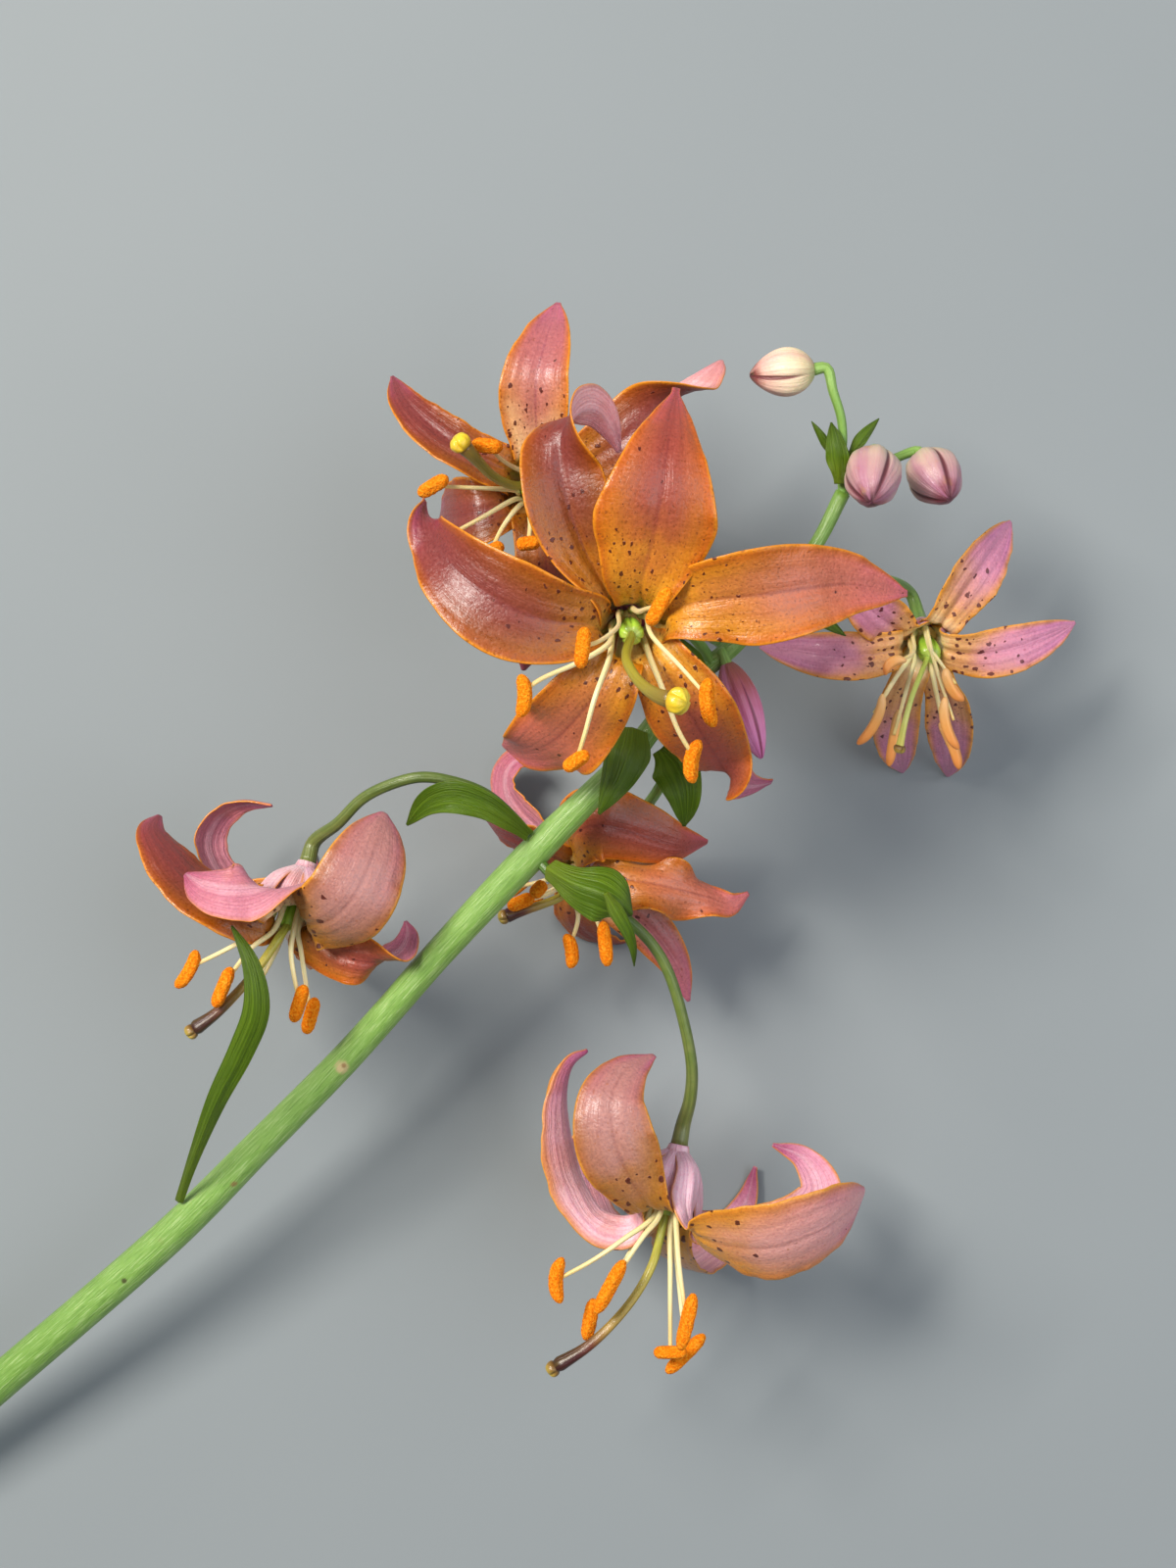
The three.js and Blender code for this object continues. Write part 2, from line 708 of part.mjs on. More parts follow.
    style: [
      [674, 1262, 35], [666, 1290, 37], [650, 1320, 38], [626, 1350, 39], [600, 1374, 39],
      [565, 1396, 38],
    ],
  },
];

function bloomFrame(bloom) {
  const seat = seen(bloom.seat);
  const mouth = new THREE.Vector3(...bloom.mouth).normalize();
  return { seat, mouth };
}

// The way out from the mouth's axis towards a target.
function radialTo({ seat, mouth }, target) {
  const radial = target.clone().sub(seat);
  return radial.addScaledVector(mouth, -radial.dot(mouth)).normalize();
}

function onAxis({ seat, mouth }, along) {
  return seat.clone().addScaledVector(mouth, along);
}

function inBell(frame, radial, along, out) {
  return onAxis(frame, along).addScaledVector(radial, out);
}

// The six claws stand evenly round the bell, three inner and three outer by turns, and the ring of
// them is turned so that each is as near as can be to where its petal goes.
function clawsOf(bloom, frame) {
  const radials = bloom.petals.map((petal) => radialTo(frame, seen(petal.rib[0])));
  const [first] = radials;
  const second = new THREE.Vector3().crossVectors(frame.mouth, first);
  const full = 2 * Math.PI;
  const angles = radials.map((radial) => (Math.atan2(radial.dot(second), radial.dot(first)) + full) % full);
  const ranks = angles.map((angle) => angles.filter((other) => other < angle).length);
  const step = full / angles.length;
  const start = angles.reduce((sum, angle, i) => sum + angle - step * ranks[i], 0) / angles.length;
  return angles.map((angle, i) => {
    const at = start + step * ranks[i];
    const radial = first.clone().multiplyScalar(Math.cos(at)).addScaledVector(second, Math.sin(at));
    const out = ranks[i] % 2 ? whorlShift : -whorlShift;
    return { radial, out, shift: THREE.MathUtils.radToDeg(angle - at) };
  });
}

const petalShape = {
  steps: 8,
  across: 4,
  neckSteps: 2,
  footWide: 1.6,
  neckWide: 5.8,
  footCup: bellCup,
  belly: 0.54,
  point: 1.7,
  thick: petalThick,
};
const turned = 0.45; // share of a petal's length by which it has turned to where it goes

function petalBlade(bloom, frame, petal, { radial, out, shift }) {
  const { widen = 0, ...clawShape } = bloom.claws ?? {};
  const foot = [
    inBell(frame, radial, clawFoot, hubFootRadius - clawSunk),
    inBell(frame, radial, hubLength, clawRadius + widen + out),
    inBell(frame, radial, bloom.bell, bellRadius + widen + out),
  ];
  const side = new THREE.Vector3().crossVectors(frame.mouth, radial);
  const way = [...foot, ...petal.rib.map(seen)];
  const neck = bloom.bell / smoothCurve(way).getLength();
  const turns = [[0, 0], ...(petal.turns ?? [])];
  const turning = { turns, shift: [[neck, 0], [turned, shift]] };
  return blade(way, side, { ...petalShape, ...clawShape, ...petal, neck, ...turning });
}

function bloomPetals(bloom) {
  const frame = bloomFrame(bloom);
  const hub = limb(
    [frame.seat, onAxis(frame, hubLength)],
    (u) => THREE.MathUtils.lerp(hubFootRadius, hubTopRadius, u),
    hubGrid,
  );
  const claws = clawsOf(bloom, frame);
  return [hub, ...bloom.petals.map((petal, i) => petalBlade(bloom, frame, petal, claws[i]))];
}

function anther([first, last], bow = 0, size = 1) {
  const [a, b] = [seen(first), seen(last)];
  const centre = a.clone().add(b).multiplyScalar(0.5);
  const across = new THREE.Vector3().crossVectors(b.clone().sub(a), new THREE.Vector3(0, 0, 1)).normalize();
  centre.addScaledVector(across, bow);
  const radius = (u) => size * antherRadius * Math.max(antherBlunt, Math.sqrt(1 - Math.abs(2 * u - 1) ** 3));
  return limb([a, centre, b], radius, antherGrid);
}

function bloomStamens(bloom) {
  const frame = bloomFrame(bloom);
  const ringFoot = hubLength + seatGap;
  const ringEnds = [ringFoot, ringFoot + ringLength].map((along) => onAxis(frame, along));
  const ring = limb(ringEnds, () => ringRadius, hubGrid);
  const stamens = bloom.stamens.flatMap(({ filament, anther: ends, bow }) => {
    const way = filament.map(seen);
    const radial = radialTo(frame, way[0]);
    const foot = [
      inBell(frame, radial, ringFoot + ringLength / 2, filamentCircle),
      inBell(frame, radial, ringFoot + filamentRise, filamentCircle + filamentLean),
    ];
    const radius = (u) => THREE.MathUtils.lerp(filamentFoot, filamentTop, u);
    return [limb([...foot, ...way], radius, filamentGrid), anther(ends, bow, bloom.antherSize)];
  });
  return [ring, ...stamens];
}

function bloomPistil(bloom) {
  const frame = bloomFrame(bloom);
  const size = bloom.pistilSize ?? 1;
  const foot = hubLength + ringLength + 2 * seatGap;
  const [low, high] = [foot, foot + ovaryLength].map((along) => onAxis(frame, along));
  const swell = (u) => THREE.MathUtils.lerp(ovaryFoot, ovaryTop, Math.sin(2 * u));
  const ovary = limb([low, high], swell, ovaryGrid);
  const way = bloom.style.map(seen);
  const start = onAxis(frame, foot + ovaryLength - styleSunk);
  const thickness = (u) => size * THREE.MathUtils.lerp(styleFoot, styleTop, u ** 3);
  const style = limb([start, ...way], thickness, styleGrid);
  const end = way[way.length - 1];
  const heading = end.clone().sub(way[way.length - 2]).normalize();
  const reach = stigmaSpan.map((share) => end.clone().addScaledVector(heading, share * size * stigmaLength));
  const round = (u) => Math.sqrt(1 - stigmaRound * (2 * u - 1) ** 2);
  const lobed = (angle) => 1 + stigmaLobe * Math.cos(3 * angle);
  const stigma = limb(reach, (u, angle) => size * stigmaRadius * round(u) * lobed(angle), stigmaGrid);
  return [ovary, style, stigma];
}

for (const bloom of blooms) {
  addPiece(`${bloom.name}_petals`, bloomPetals(bloom), bloom.color);
  addPiece(`${bloom.name}_stamens`, bloomStamens(bloom), pollenOrange, 0.9);
  addPiece(`${bloom.name}_pistil`, bloomPistil(bloom), pistilGreen);
}

// Buds: six closed petals, with a seam between each two.
const buds = [
  { name: "bud_1", foot: [831, 377, 48], tip: [765, 383, 48], wide: 8.6 },
  { name: "bud_2", foot: [892, 465, 47], tip: [889, 512, 57], wide: 9.8 },
  { name: "bud_3", foot: [941, 467, 36], tip: [969, 509, 45], wide: 9.7 },
  { name: "bud_opening", foot: [741, 676, 46], tip: [777, 774, 46], wide: 6.8 },
];

const budTip = 0.16; // least size of a bud at its ends, as a share of its middle
const budSeam = 0.07; // depth of the seams, as a share of the bud's size
const budSwell = [0.06, 0.96]; // the part of a half-wave that its outline follows

function budBody({ foot, tip, wide }) {
  const swell = (u) => Math.sin(Math.PI * THREE.MathUtils.lerp(...budSwell, u ** 0.85)) ** 0.7;
  const profile = (u) => Math.max(budTip, swell(u));
  const radius = (u, angle) => (wide / 2) * profile(u) * (1 - budSeam * Math.abs(Math.cos(3 * angle)));
  return [limb([seen(foot), seen(tip)], radius, budGrid)];
}

for (const bud of buds) addPiece(bud.name, budBody(bud), budPink);

// Stem and stalks
const stemWay = [
  [-243, 1615, 3.5], [-120, 1512, 9], [0, 1410, 14], [180, 1254, 21], [262, 1172, 24.5],
  [349, 1084, 28.5], [397, 1031, 31], [446, 975, 33.5], [540, 875, 37.5], [600, 815, 40], [640, 775, 41.5],
  [700, 700, 43.5], [752, 655, 44.5], [830, 560, 45], [860, 503, 45],
];
const stemRadii = [3.6, 3.5, 3.4, 3.2, 2.9, 2.7, 2.6, 2.6, 2.8, 2.3, 2.1, 1.7, 1.6, 1.2, 1.3];
const budStalks = [
  { bud: buds[0], way: [[860, 505, 45], [858, 475, 45.3], [860, 447, 46], [858, 425, 47], [850, 399, 48]] },
  { bud: buds[1], way: [[858, 506, 45], [874, 482, 42.5], [887, 464, 43.5]] },
  { bud: buds[2], way: [[860, 505, 45], [888, 480, 38], [915, 467, 35]] },
  { bud: buds[3], way: [[728, 672, 44], [735, 668, 45]] },
];

function listAt(list, u) {
  const place = u * (list.length - 1);
  const low = Math.min(Math.floor(place), list.length - 2);
  return THREE.MathUtils.lerp(list[low], list[low + 1], place - low);
}

// Thickness along the stem, found at the nearest of its points rather than by length.
function stemBody() {
  const points = stemWay.map(seen);
  const curve = smoothCurve(points);
  return limb(points, (u) => listAt(stemRadii, curve.getUtoTmapping(u)), stemGrid);
}

function bloomStalk(bloom) {
  const frame = bloomFrame(bloom);
  const way = [...bloom.stalk.map(seen), onAxis(frame, -stalkStraight), onAxis(frame, -seatGap)];
  const radius = (u) => THREE.MathUtils.lerp(stalkRadius, stalkEnd, u ** 8);
  return limb(way, radius, stalkGrid);
}

function budStalk({ bud, way }) {
  const seat = seen(bud.foot);
  const frame = { seat, mouth: seen(bud.tip).sub(seat).normalize() };
  const points = [...way.map(seen), onAxis(frame, -budStalkStraight), onAxis(frame, -seatGap)];
  return limb(points, (u) => THREE.MathUtils.lerp(budStalkRadius, budStalkEnd, u ** 6), budStalkGrid);
}

addPiece("stem", [stemBody(), ...blooms.map(bloomStalk), ...budStalks.map(budStalk)], stemGreen);

// Leaves and bracts. foot is the width at the foot, as a share of the widest place.
const leafBroad = 3; // wider ones get more rows and columns
const leafShape = { neck: 0, neckSteps: 0, belly: 0.42, point: 1.5, thick: leafThick };
const leafFoot = 0.4;
const leaves = [
  {
    name: "leaf_long", wide: 4.6, fold: 0.3, foot: 0.35, belly: 0.74,
    rib: [
      [182, 1227.5, 24.3], [198, 1180, 33], [221, 1122, 42], [246, 1072, 48], [261, 1030, 51],
      [256, 985, 51], [236, 944, 48],
    ],
  },
  {
    name: "leaf_left", wide: 5.4, fold: -0.5, belly: 0.6,
    rib: [
      [539, 852, 39.9], [519, 837, 44.5], [492, 820, 47.3], [462, 812, 48], [438, 819, 46],
      [415, 842, 43],
    ],
  },
  {
    name: "leaf_keel", wide: 9.6, fold: 0.75, belly: 0.6, point: 2.2,
    rib: [[557, 885, 40.7], [586, 902, 44.5], [612, 911, 46.5], [632, 922, 46.5], [645, 934, 45]],
  },
  {
    name: "leaf_keel_tip", wide: 2.6, fold: 0.2, belly: 0.25,
    rib: [[618, 911, 47.9], [630, 932, 47.6], [640, 950, 46.8], [646, 968, 45.4], [647, 986, 43.5]],
  },
  {
    name: "leaf_front", wide: 8, fold: 0.3, foot: 0.7, belly: 0.3, point: 1.2,
    rib: [[645, 742, 45.5], [641, 765, 48], [632, 790, 48], [621, 812, 47.5], [611, 831, 46]],
  },
  {
    name: "leaf_hood", wide: 8.5, fold: -0.4, belly: 0.3, point: 1.2,
    rib: [[674, 764, 40], [688, 781, 41], [697, 805, 42], [699, 825, 41], [698, 843, 39]],
  },
  { name: "bract_a", rib: [[720, 683, 46.4], [706, 668, 48.8], [694, 651, 50]], wide: 2.6, fold: 0.2 },
  { name: "bract_e", rib: [[816, 614, 43.8], [838, 631, 45], [863, 649, 44]], wide: 2.6, fold: 0.2 },
  {
    name: "bract_buds", wide: 4, fold: 0.15,
    rib: [[856, 494, 47.1], [856, 476, 47.9], [853, 455, 48.4], [848, 431, 47.4]],
  },
  {
    name: "bract_buds_narrow", wide: 1.6, fold: 0.2,
    rib: [[850, 467, 45], [839, 446, 46], [828, 430, 45.5]],
  },
  {
    name: "bract_buds_back", wide: 2.2, fold: 0.2,
    rib: [[866, 466, 44.8], [880, 446, 44.6], [897, 427, 44.2]],
  },
];

function leafBlade(leaf) {
  const rib = leaf.rib.map(seen);
  const heading = rib[1].clone().sub(rib[0]);
  const side = new THREE.Vector3().crossVectors(heading, new THREE.Vector3(0, 0, 1)).normalize();
  const { wide, foot = leafFoot } = leaf;
  const grid = wide > leafBroad ? { steps: 5, across: 4 } : { steps: 4, across: 2 };
  return [blade(rib, side, { ...leafShape, ...grid, ...leaf, footWide: wide * foot, neckWide: wide * foot })];
}

for (const leaf of leaves) addPiece(leaf.name, leafBlade(leaf), leafGreen);

export default lily;
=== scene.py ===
import math

import bpy
import numpy as np
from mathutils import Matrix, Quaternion, Vector


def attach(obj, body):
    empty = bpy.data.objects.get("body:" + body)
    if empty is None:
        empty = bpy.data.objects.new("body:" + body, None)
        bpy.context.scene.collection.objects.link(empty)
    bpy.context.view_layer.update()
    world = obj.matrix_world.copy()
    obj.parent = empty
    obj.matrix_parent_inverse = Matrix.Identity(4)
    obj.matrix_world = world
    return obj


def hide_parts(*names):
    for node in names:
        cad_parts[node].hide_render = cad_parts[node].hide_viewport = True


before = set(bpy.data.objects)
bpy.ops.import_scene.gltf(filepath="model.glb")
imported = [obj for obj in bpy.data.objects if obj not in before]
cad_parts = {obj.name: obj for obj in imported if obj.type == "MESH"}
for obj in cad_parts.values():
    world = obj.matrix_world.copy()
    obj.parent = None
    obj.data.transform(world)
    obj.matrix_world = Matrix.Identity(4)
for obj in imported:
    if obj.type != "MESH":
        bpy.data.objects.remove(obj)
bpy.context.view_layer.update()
print("frame loaded:", len(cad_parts), "nodes")

# Where things lie. A place is (px, py, height): the pixel of a 1200 x 1600 picture in which an eye looking
# straight down sees it, and its height above the table in mm. Other sizes in the dictionaries are in mm too.
mm = 0.001
eye = dict(
    height=460,
    scaleHeight=40,
    mmPerPixel=0.165,  # at scaleHeight
    pictureCentre=(600, 800),
    lilyMiddle=(-34.0437, -33.8932),  # the lily's own middle, which is the origin
    pictureLong=1600,
    sensor=36,
)


def seen(place):
    px, py, height = place
    scale = eye["mmPerPixel"] * (eye["height"] - height) / (eye["height"] - eye["scaleHeight"])
    return mm * Vector((
        (px - eye["pictureCentre"][0]) * scale - eye["lilyMiddle"][0],
        (eye["pictureCentre"][1] - py) * scale - eye["lilyMiddle"][1],
        height,
    ))


# Ways through space

stepsPerSpan = 20


def smoothWay(places):
    # a centripetal curve through all the places, as many short steps
    given = np.array([tuple(place) for place in places])
    given = np.vstack([2 * given[0] - given[1], given, 2 * given[-1] - given[-2]])
    t = np.arange(stepsPerSpan)[:, None] / stepsPerSpan
    spans = []
    for a, b, c, d in zip(given, given[1:], given[2:], given[3:]):
        ab, bc, cd = (np.linalg.norm(q - p) ** 0.5 for p, q in ((a, b), (b, c), (c, d)))
        leave = ((b - a) / ab - (c - a) / (ab + bc) + (c - b) / bc) * bc
        arrive = ((c - b) / bc - (d - b) / (bc + cd) + (d - c) / cd) * bc
        spans.append(b * (2 * t**3 - 3 * t**2 + 1) + c * (3 * t**2 - 2 * t**3)
                     + leave * (t**3 - 2 * t**2 + t) + arrive * (t**3 - t**2))
    return np.vstack(spans + [given[-2:-1]])


def walkAlong(places, shares, firstSide=None):
    # where each share of the way is, its heading, and a side that turns with it and never spins
    way = smoothWay(places)
    reach = np.concatenate([[0], np.cumsum(np.linalg.norm(np.diff(way, axis=0), axis=1))])
    slope = np.gradient(way, reach, axis=0)
    pick = shares * reach[-1]
    at = np.column_stack([np.interp(pick, reach, way[:, i]) for i in range(3)])
    heading = np.column_stack([np.interp(pick, reach, slope[:, i]) for i in range(3)])
    heading /= np.linalg.norm(heading, axis=1)[:, None]
    last = Vector(heading[0])
    if firstSide is None:
        firstSide = Vector((0, 0, 1)) if abs(last.z) < 0.9 else Vector((1, 0, 0))
    side = firstSide.copy()
    sides = []
    for row in heading:
        ahead = Vector(row)
        side.rotate(last.rotation_difference(ahead))
        side = (side - side.dot(ahead) * ahead).normalized()
        last = ahead
        sides.append(tuple(side))
    knot = np.interp(pick, reach, np.arange(len(way)) / stepsPerSpan)
    return dict(at=at, heading=heading, side=np.array(sides), length=reach[-1], knot=knot)


def smooth(x, low, high):
    t = np.clip((x - low) / (high - low), 0, 1)
    return t * t * (3 - 2 * t)


def eased(pairs, u):
    # a value that passes smoothly through a list of (share, value)
    value = np.full_like(u, pairs[0][1], dtype=float)
    for (low, start), (high, end) in zip(pairs, pairs[1:]):
        value += (end - start) * smooth(u, low, high)
    return value


# Working on meshes

def selectOnly(*pieces):
    bpy.ops.object.select_all(action="DESELECT")
    for piece in pieces:
        piece.select_set(True)
    bpy.context.view_layer.objects.active = pieces[0]


def addGrid(name, columns, rows):
    bpy.ops.object.select_all(action="DESELECT")
    bpy.ops.mesh.primitive_grid_add(x_subdivisions=columns, y_subdivisions=rows, size=2)
    piece = bpy.context.object
    piece.name = name
    piece.data.uv_layers[0].name = "shape"
    return piece, pointsOf(piece)


def pointsOf(piece):
    points = np.empty(len(piece.data.vertices) * 3)
    piece.data.vertices.foreach_get("co", points)
    return points.reshape(-1, 3)


def placePoints(piece, points):
    piece.data.vertices.foreach_set("co", points.astype(np.float32).ravel())
    piece.data.update()


def writeMap(piece, name, pairs):
    layer = piece.data.uv_layers.get(name) or piece.data.uv_layers.new(name=name)
    corners = np.empty(len(piece.data.loops), int)
    piece.data.loops.foreach_get("vertex_index", corners)
    layer.data.foreach_set("uv", pairs[corners].astype(np.float32).ravel())


def applyModifier(piece, kind, **settings):
    modifier = piece.modifiers.new(kind, kind)
    for name, value in settings.items():
        setattr(modifier, name, value)
    selectOnly(piece)
    bpy.ops.object.modifier_apply(modifier=modifier.name)


def capEnds(piece):
    # welds the seam of a rolled sheet and closes its two open ends
    selectOnly(piece)
    bpy.ops.object.mode_set(mode="EDIT")
    bpy.ops.mesh.select_all(action="SELECT")
    bpy.ops.mesh.remove_doubles(threshold=1e-7)
    bpy.ops.mesh.select_all(action="DESELECT")
    bpy.ops.mesh.select_non_manifold()
    bpy.ops.mesh.fill_holes(sides=0)
    bpy.ops.object.mode_set(mode="OBJECT")


def joinPieces(name, pieces):
    selectOnly(*pieces)
    if len(pieces) > 1:
        bpy.ops.object.join()
    joined = bpy.context.object
    joined.name = name
    joined.data.name = name
    bpy.ops.object.shade_smooth()
    return joined


limbClearance = 0.15  # above the table
nextPiece = 300  # what the spread map moves on by from one piece to the next, in mm


def keepOffTable(points, clearance):
    points[:, 2] = np.maximum(points[:, 2], clearance * mm)
    return points


def addLimb(name, places, radius, faces, material, number=0):
    # a sheet rolled up round a way, with radius(u, angle) in mm; faces: how many round and along
    piece, grid = addGrid(name, *faces)
    angle = -math.pi * grid[:, 0]
    shares, row = np.unique(np.round((grid[:, 1] + 1) / 2, 5), return_inverse=True)
    way = walkAlong(places, shares)
    u = shares[row]
    up = np.cross(way["heading"], way["side"])
    reach = (mm * radius(u, angle))[:, None]
    points = way["at"][row] + reach * (way["side"][row] * np.sin(angle)[:, None]
                                       + up[row] * np.cos(angle)[:, None])
    placePoints(piece, keepOffTable(points, limbClearance))
    writeMap(piece, "shape", np.column_stack([(angle / math.pi + 1) / 2, u]))
    along = u * way["length"] / mm + nextPiece * number
    writeMap(piece, "spread", np.column_stack([angle * radius(u, angle), along]))
    piece.data.materials.append(material)
    capEnds(piece)
    return piece


bladeForm = dict(
    tip=0.07, taper=0.8,  # tip is its width there, as a share of the widest place
    cupChanges=(0.15, 0.4),  # between these the cup of the foot gives way to that of the blade
    waves=7, wavesApart=2,  # half waves along an edge, and how far the two edges are out of step
    clearance=0.35,  # of its middle layer above the table
)
still = [(0, 0)]  # as turns: none


def bladeWidth(u, look):
    # from the foot out to the neck, on to the widest place, and in to the tip
    neck, belly, wide = look["neck"], look["belly"], look["wide"]
    foot = look["footWide"] + (look["neckWide"] - look["footWide"]) * np.clip(u / max(neck, 1e-6), 0, 1)
    out = look["neckWide"] + (wide - look["neckWide"]) * smooth(u, neck, belly)
    rest = np.clip((u - belly) / (1 - belly), 0, 1)
    drawnIn = (1 - rest ** look["point"]) ** look.get("taper", bladeForm["taper"])
    tip = wide * np.maximum(bladeForm["tip"], drawnIn)
    return np.where(u < neck, foot, np.where(u < belly, out, tip))


def addBlade(name, places, firstSide, look, materials, number=0):
    # a petal or leaf: a thin sheet along its midrib, with its inner face towards the heading x side
    form = bladeForm
    piece, grid = addGrid(name, look["columns"], look["rows"])
    v = -grid[:, 0]
    shares, row = np.unique(np.round((grid[:, 1] + 1) / 2, 5), return_inverse=True)
    way = walkAlong(places, shares, firstSide)
    turn = np.radians(eased(look.get("turns", still), shares) + eased(look.get("shift", still), shares))
    up = np.cross(way["heading"], way["side"])
    side = way["side"] * np.cos(turn)[:, None] + up * np.sin(turn)[:, None]
    face = np.cross(way["heading"], side)
    half = bladeWidth(shares, look) / 2
    bend = eased(list(zip(form["cupChanges"], (look.get("footCup", 0), look.get("cup", 0)))), shares)
    u, width = shares[row], half[row]
    lift = width * (look.get("fold", 0) * np.abs(v) + bend[row] * v**2)
    swing = np.sin(form["waves"] * np.pi * u + np.where(v > 0, 0, form["wavesApart"])) * v**2
    lift += look.get("wave", 0) * swing * 2 * width / look["wide"]
    lift += look["relief"](u, v, width, number)
    points = way["at"][row] + mm * (side[row] * (width * v)[:, None] + face[row] * lift[:, None])
    placePoints(piece, keepOffTable(points, form["clearance"]))
    writeMap(piece, "shape", np.column_stack([(v + 1) / 2, u]))
    along = u * way["length"] / mm + nextPiece * number
    writeMap(piece, "spread", np.column_stack([width * v, along]))
    body = piece.vertex_groups.new(name="body")
    for i, weight in enumerate(1 - look["edgeThin"] * v**2):
        body.add([i], weight, "REPLACE")
    for material in materials:
        piece.data.materials.append(material)
    applyModifier(piece, "SOLIDIFY", thickness=look["thick"] * mm, offset=0, vertex_group="body",
                  material_offset=1, use_rim=True)
    applyModifier(piece, "SUBSURF", levels=1, render_levels=1)
    return piece


# Shader building

def tone(code):
    # a colour as on a screen, turned into the shader's linear values
    parts = [int(code[i:i + 2], 16) / 255 for i in (0, 2, 4)]
    return tuple(c / 12.92 if c <= 0.04045 else ((c + 0.055) / 1.055) ** 2.4 for c in parts) + (1,)


def addNode(tree, kind, inputs=None, **settings):
    node = tree.nodes.new("ShaderNode" + kind)
    for name, value in settings.items():
        setattr(node, name, value)
    for name, value in (inputs or {}).items():
        if isinstance(value, bpy.types.NodeSocket):
            tree.links.new(value, node.inputs[name])
        else:
            node.inputs[name].default_value = value
    return node


def reckon(tree, how, first, second=0.0):
    return addNode(tree, "Math", {0: first, 1: second}, operation=how).outputs[0]


def times(tree, first, second):
    return reckon(tree, "MULTIPLY", first, second)


def fade(tree, value, start, end, low=0.0, high=1.0):
    inputs = {"Value": value, "From Min": start, "From Max": end, "To Min": low, "To Max": high}
    return addNode(tree, "MapRange", inputs, interpolation_type="SMOOTHSTEP").outputs[0]


def noise(tree, where, scale, detail, **more):
    return addNode(tree, "TexNoise", {"Vector": where, "Scale": scale, "Detail": detail}, **more).outputs


def colourRun(tree, share, stops):
    node = addNode(tree, "ValToRGB", {0: share})
    run = node.color_ramp
    while len(run.elements) < len(stops):
        run.elements.new(0.5)
    for element, (place, code) in zip(run.elements, stops):
        element.position = place
        element.color = tone(code)
    return node.outputs[0]


def blend(tree, share, under, over, how="MIX"):
    return addNode(tree, "Mix", {0: share, 6: under, 7: over}, data_type="RGBA", blend_type=how).outputs[2]


def tint(tree, colour, code, mask):
    return blend(tree, mask, colour, tone(code))


def speckle(tree, colour, fine, share, dark, light):
    # lays the skin's fine grain over a colour, as darker and lighter points
    return blend(tree, share, colour, colourRun(tree, fine, [(0.3, dark), (0.7, light)]), "OVERLAY")


def newGroup(name, takes, gives):
    group = bpy.data.node_groups.new(name, "ShaderNodeTree")
    for title, kind, value in takes:
        socket = group.interface.new_socket(title, in_out="INPUT", socket_type="NodeSocket" + kind)
        if value is not None:
            socket.default_value = value
    for title in gives:
        group.interface.new_socket(title, in_out="OUTPUT", socket_type="NodeSocketFloat")
    return group, group.nodes.new("NodeGroupInput").outputs, group.nodes.new("NodeGroupOutput").inputs


def useGroup(tree, group, inputs):
    return addNode(tree, "Group", inputs, node_tree=group).outputs


def veinGroup():
    # lines that run from foot to tip and meet there: Lines is 1 on a vein, Height its relief
    group, given, made = newGroup(
        "long veins", [("Shape", "Vector", None), ("Spread", "Vector", None), ("Count", "Float", 12.0),
                       ("Wander", "Float", 0.3)], ["Lines", "Height"])
    across = addNode(group, "SeparateXYZ", {0: given["Shape"]}).outputs[0]
    along = addNode(group, "SeparateXYZ", {0: given["Spread"]}).outputs[1]
    drift = noise(group, given["Spread"], 0.12, 2.0)[0]
    drift = times(group, reckon(group, "SUBTRACT", drift, 0.5), given["Wander"])
    place = times(group, reckon(group, "ADD", across, drift), given["Count"])
    where = addNode(group, "CombineXYZ", {0: place, 1: times(group, along, 0.035)}).outputs[0]
    lines = addNode(group, "TexNoise", {"Vector": where, "Scale": 1.0, "Detail": 4.0, "Roughness": 0.6},
                    noise_dimensions="2D").outputs[0]
    group.links.new(fade(group, lines, 0.42, 0.66), made["Lines"])
    group.links.new(lines, made["Height"])
    return group


def freckleGroup():
    # dark dots of uneven size on part of the surface; Amount is the share of places that carry one
    group, given, made = newGroup(
        "freckles", [("Spread", "Vector", None), ("Spacing", "Float", 2.4), ("Size", "Float", 0.3),
                     ("Amount", "Float", 0.5)], ["Mask"])
    wobble = noise(group, given["Spread"], 1.1, 2.0)[1]
    wobble = addNode(group, "VectorMath", {0: wobble, 1: (0.5, 0.5, 0.5)}, operation="SUBTRACT").outputs[0]
    bent = addNode(group, "VectorMath", {0: wobble, "Scale": 0.9}, operation="SCALE").outputs[0]
    bent = addNode(group, "VectorMath", {0: given["Spread"], 1: bent}).outputs[0]
    squeezed = addNode(group, "VectorMath", {0: bent, 1: (1, 0.72, 0)}, operation="MULTIPLY").outputs[0]
    density = reckon(group, "DIVIDE", 1.0, given["Spacing"])
    cells = addNode(group, "TexVoronoi", {"Vector": squeezed, "Scale": density, "Randomness": 1.0},
                    voronoi_dimensions="2D").outputs
    draw = addNode(group, "SeparateColor", {0: cells[1]}).outputs
    reach = times(group, given["Size"], fade(group, draw[1], 0.0, 1.0, 0.35, 1.15))
    inside = fade(group, reckon(group, "DIVIDE", cells[0], reach), 1.1, 0.75)
    carried = reckon(group, "LESS_THAN", draw[0], given["Amount"])
    group.links.new(times(group, inside, carried), made["Mask"])
    return group


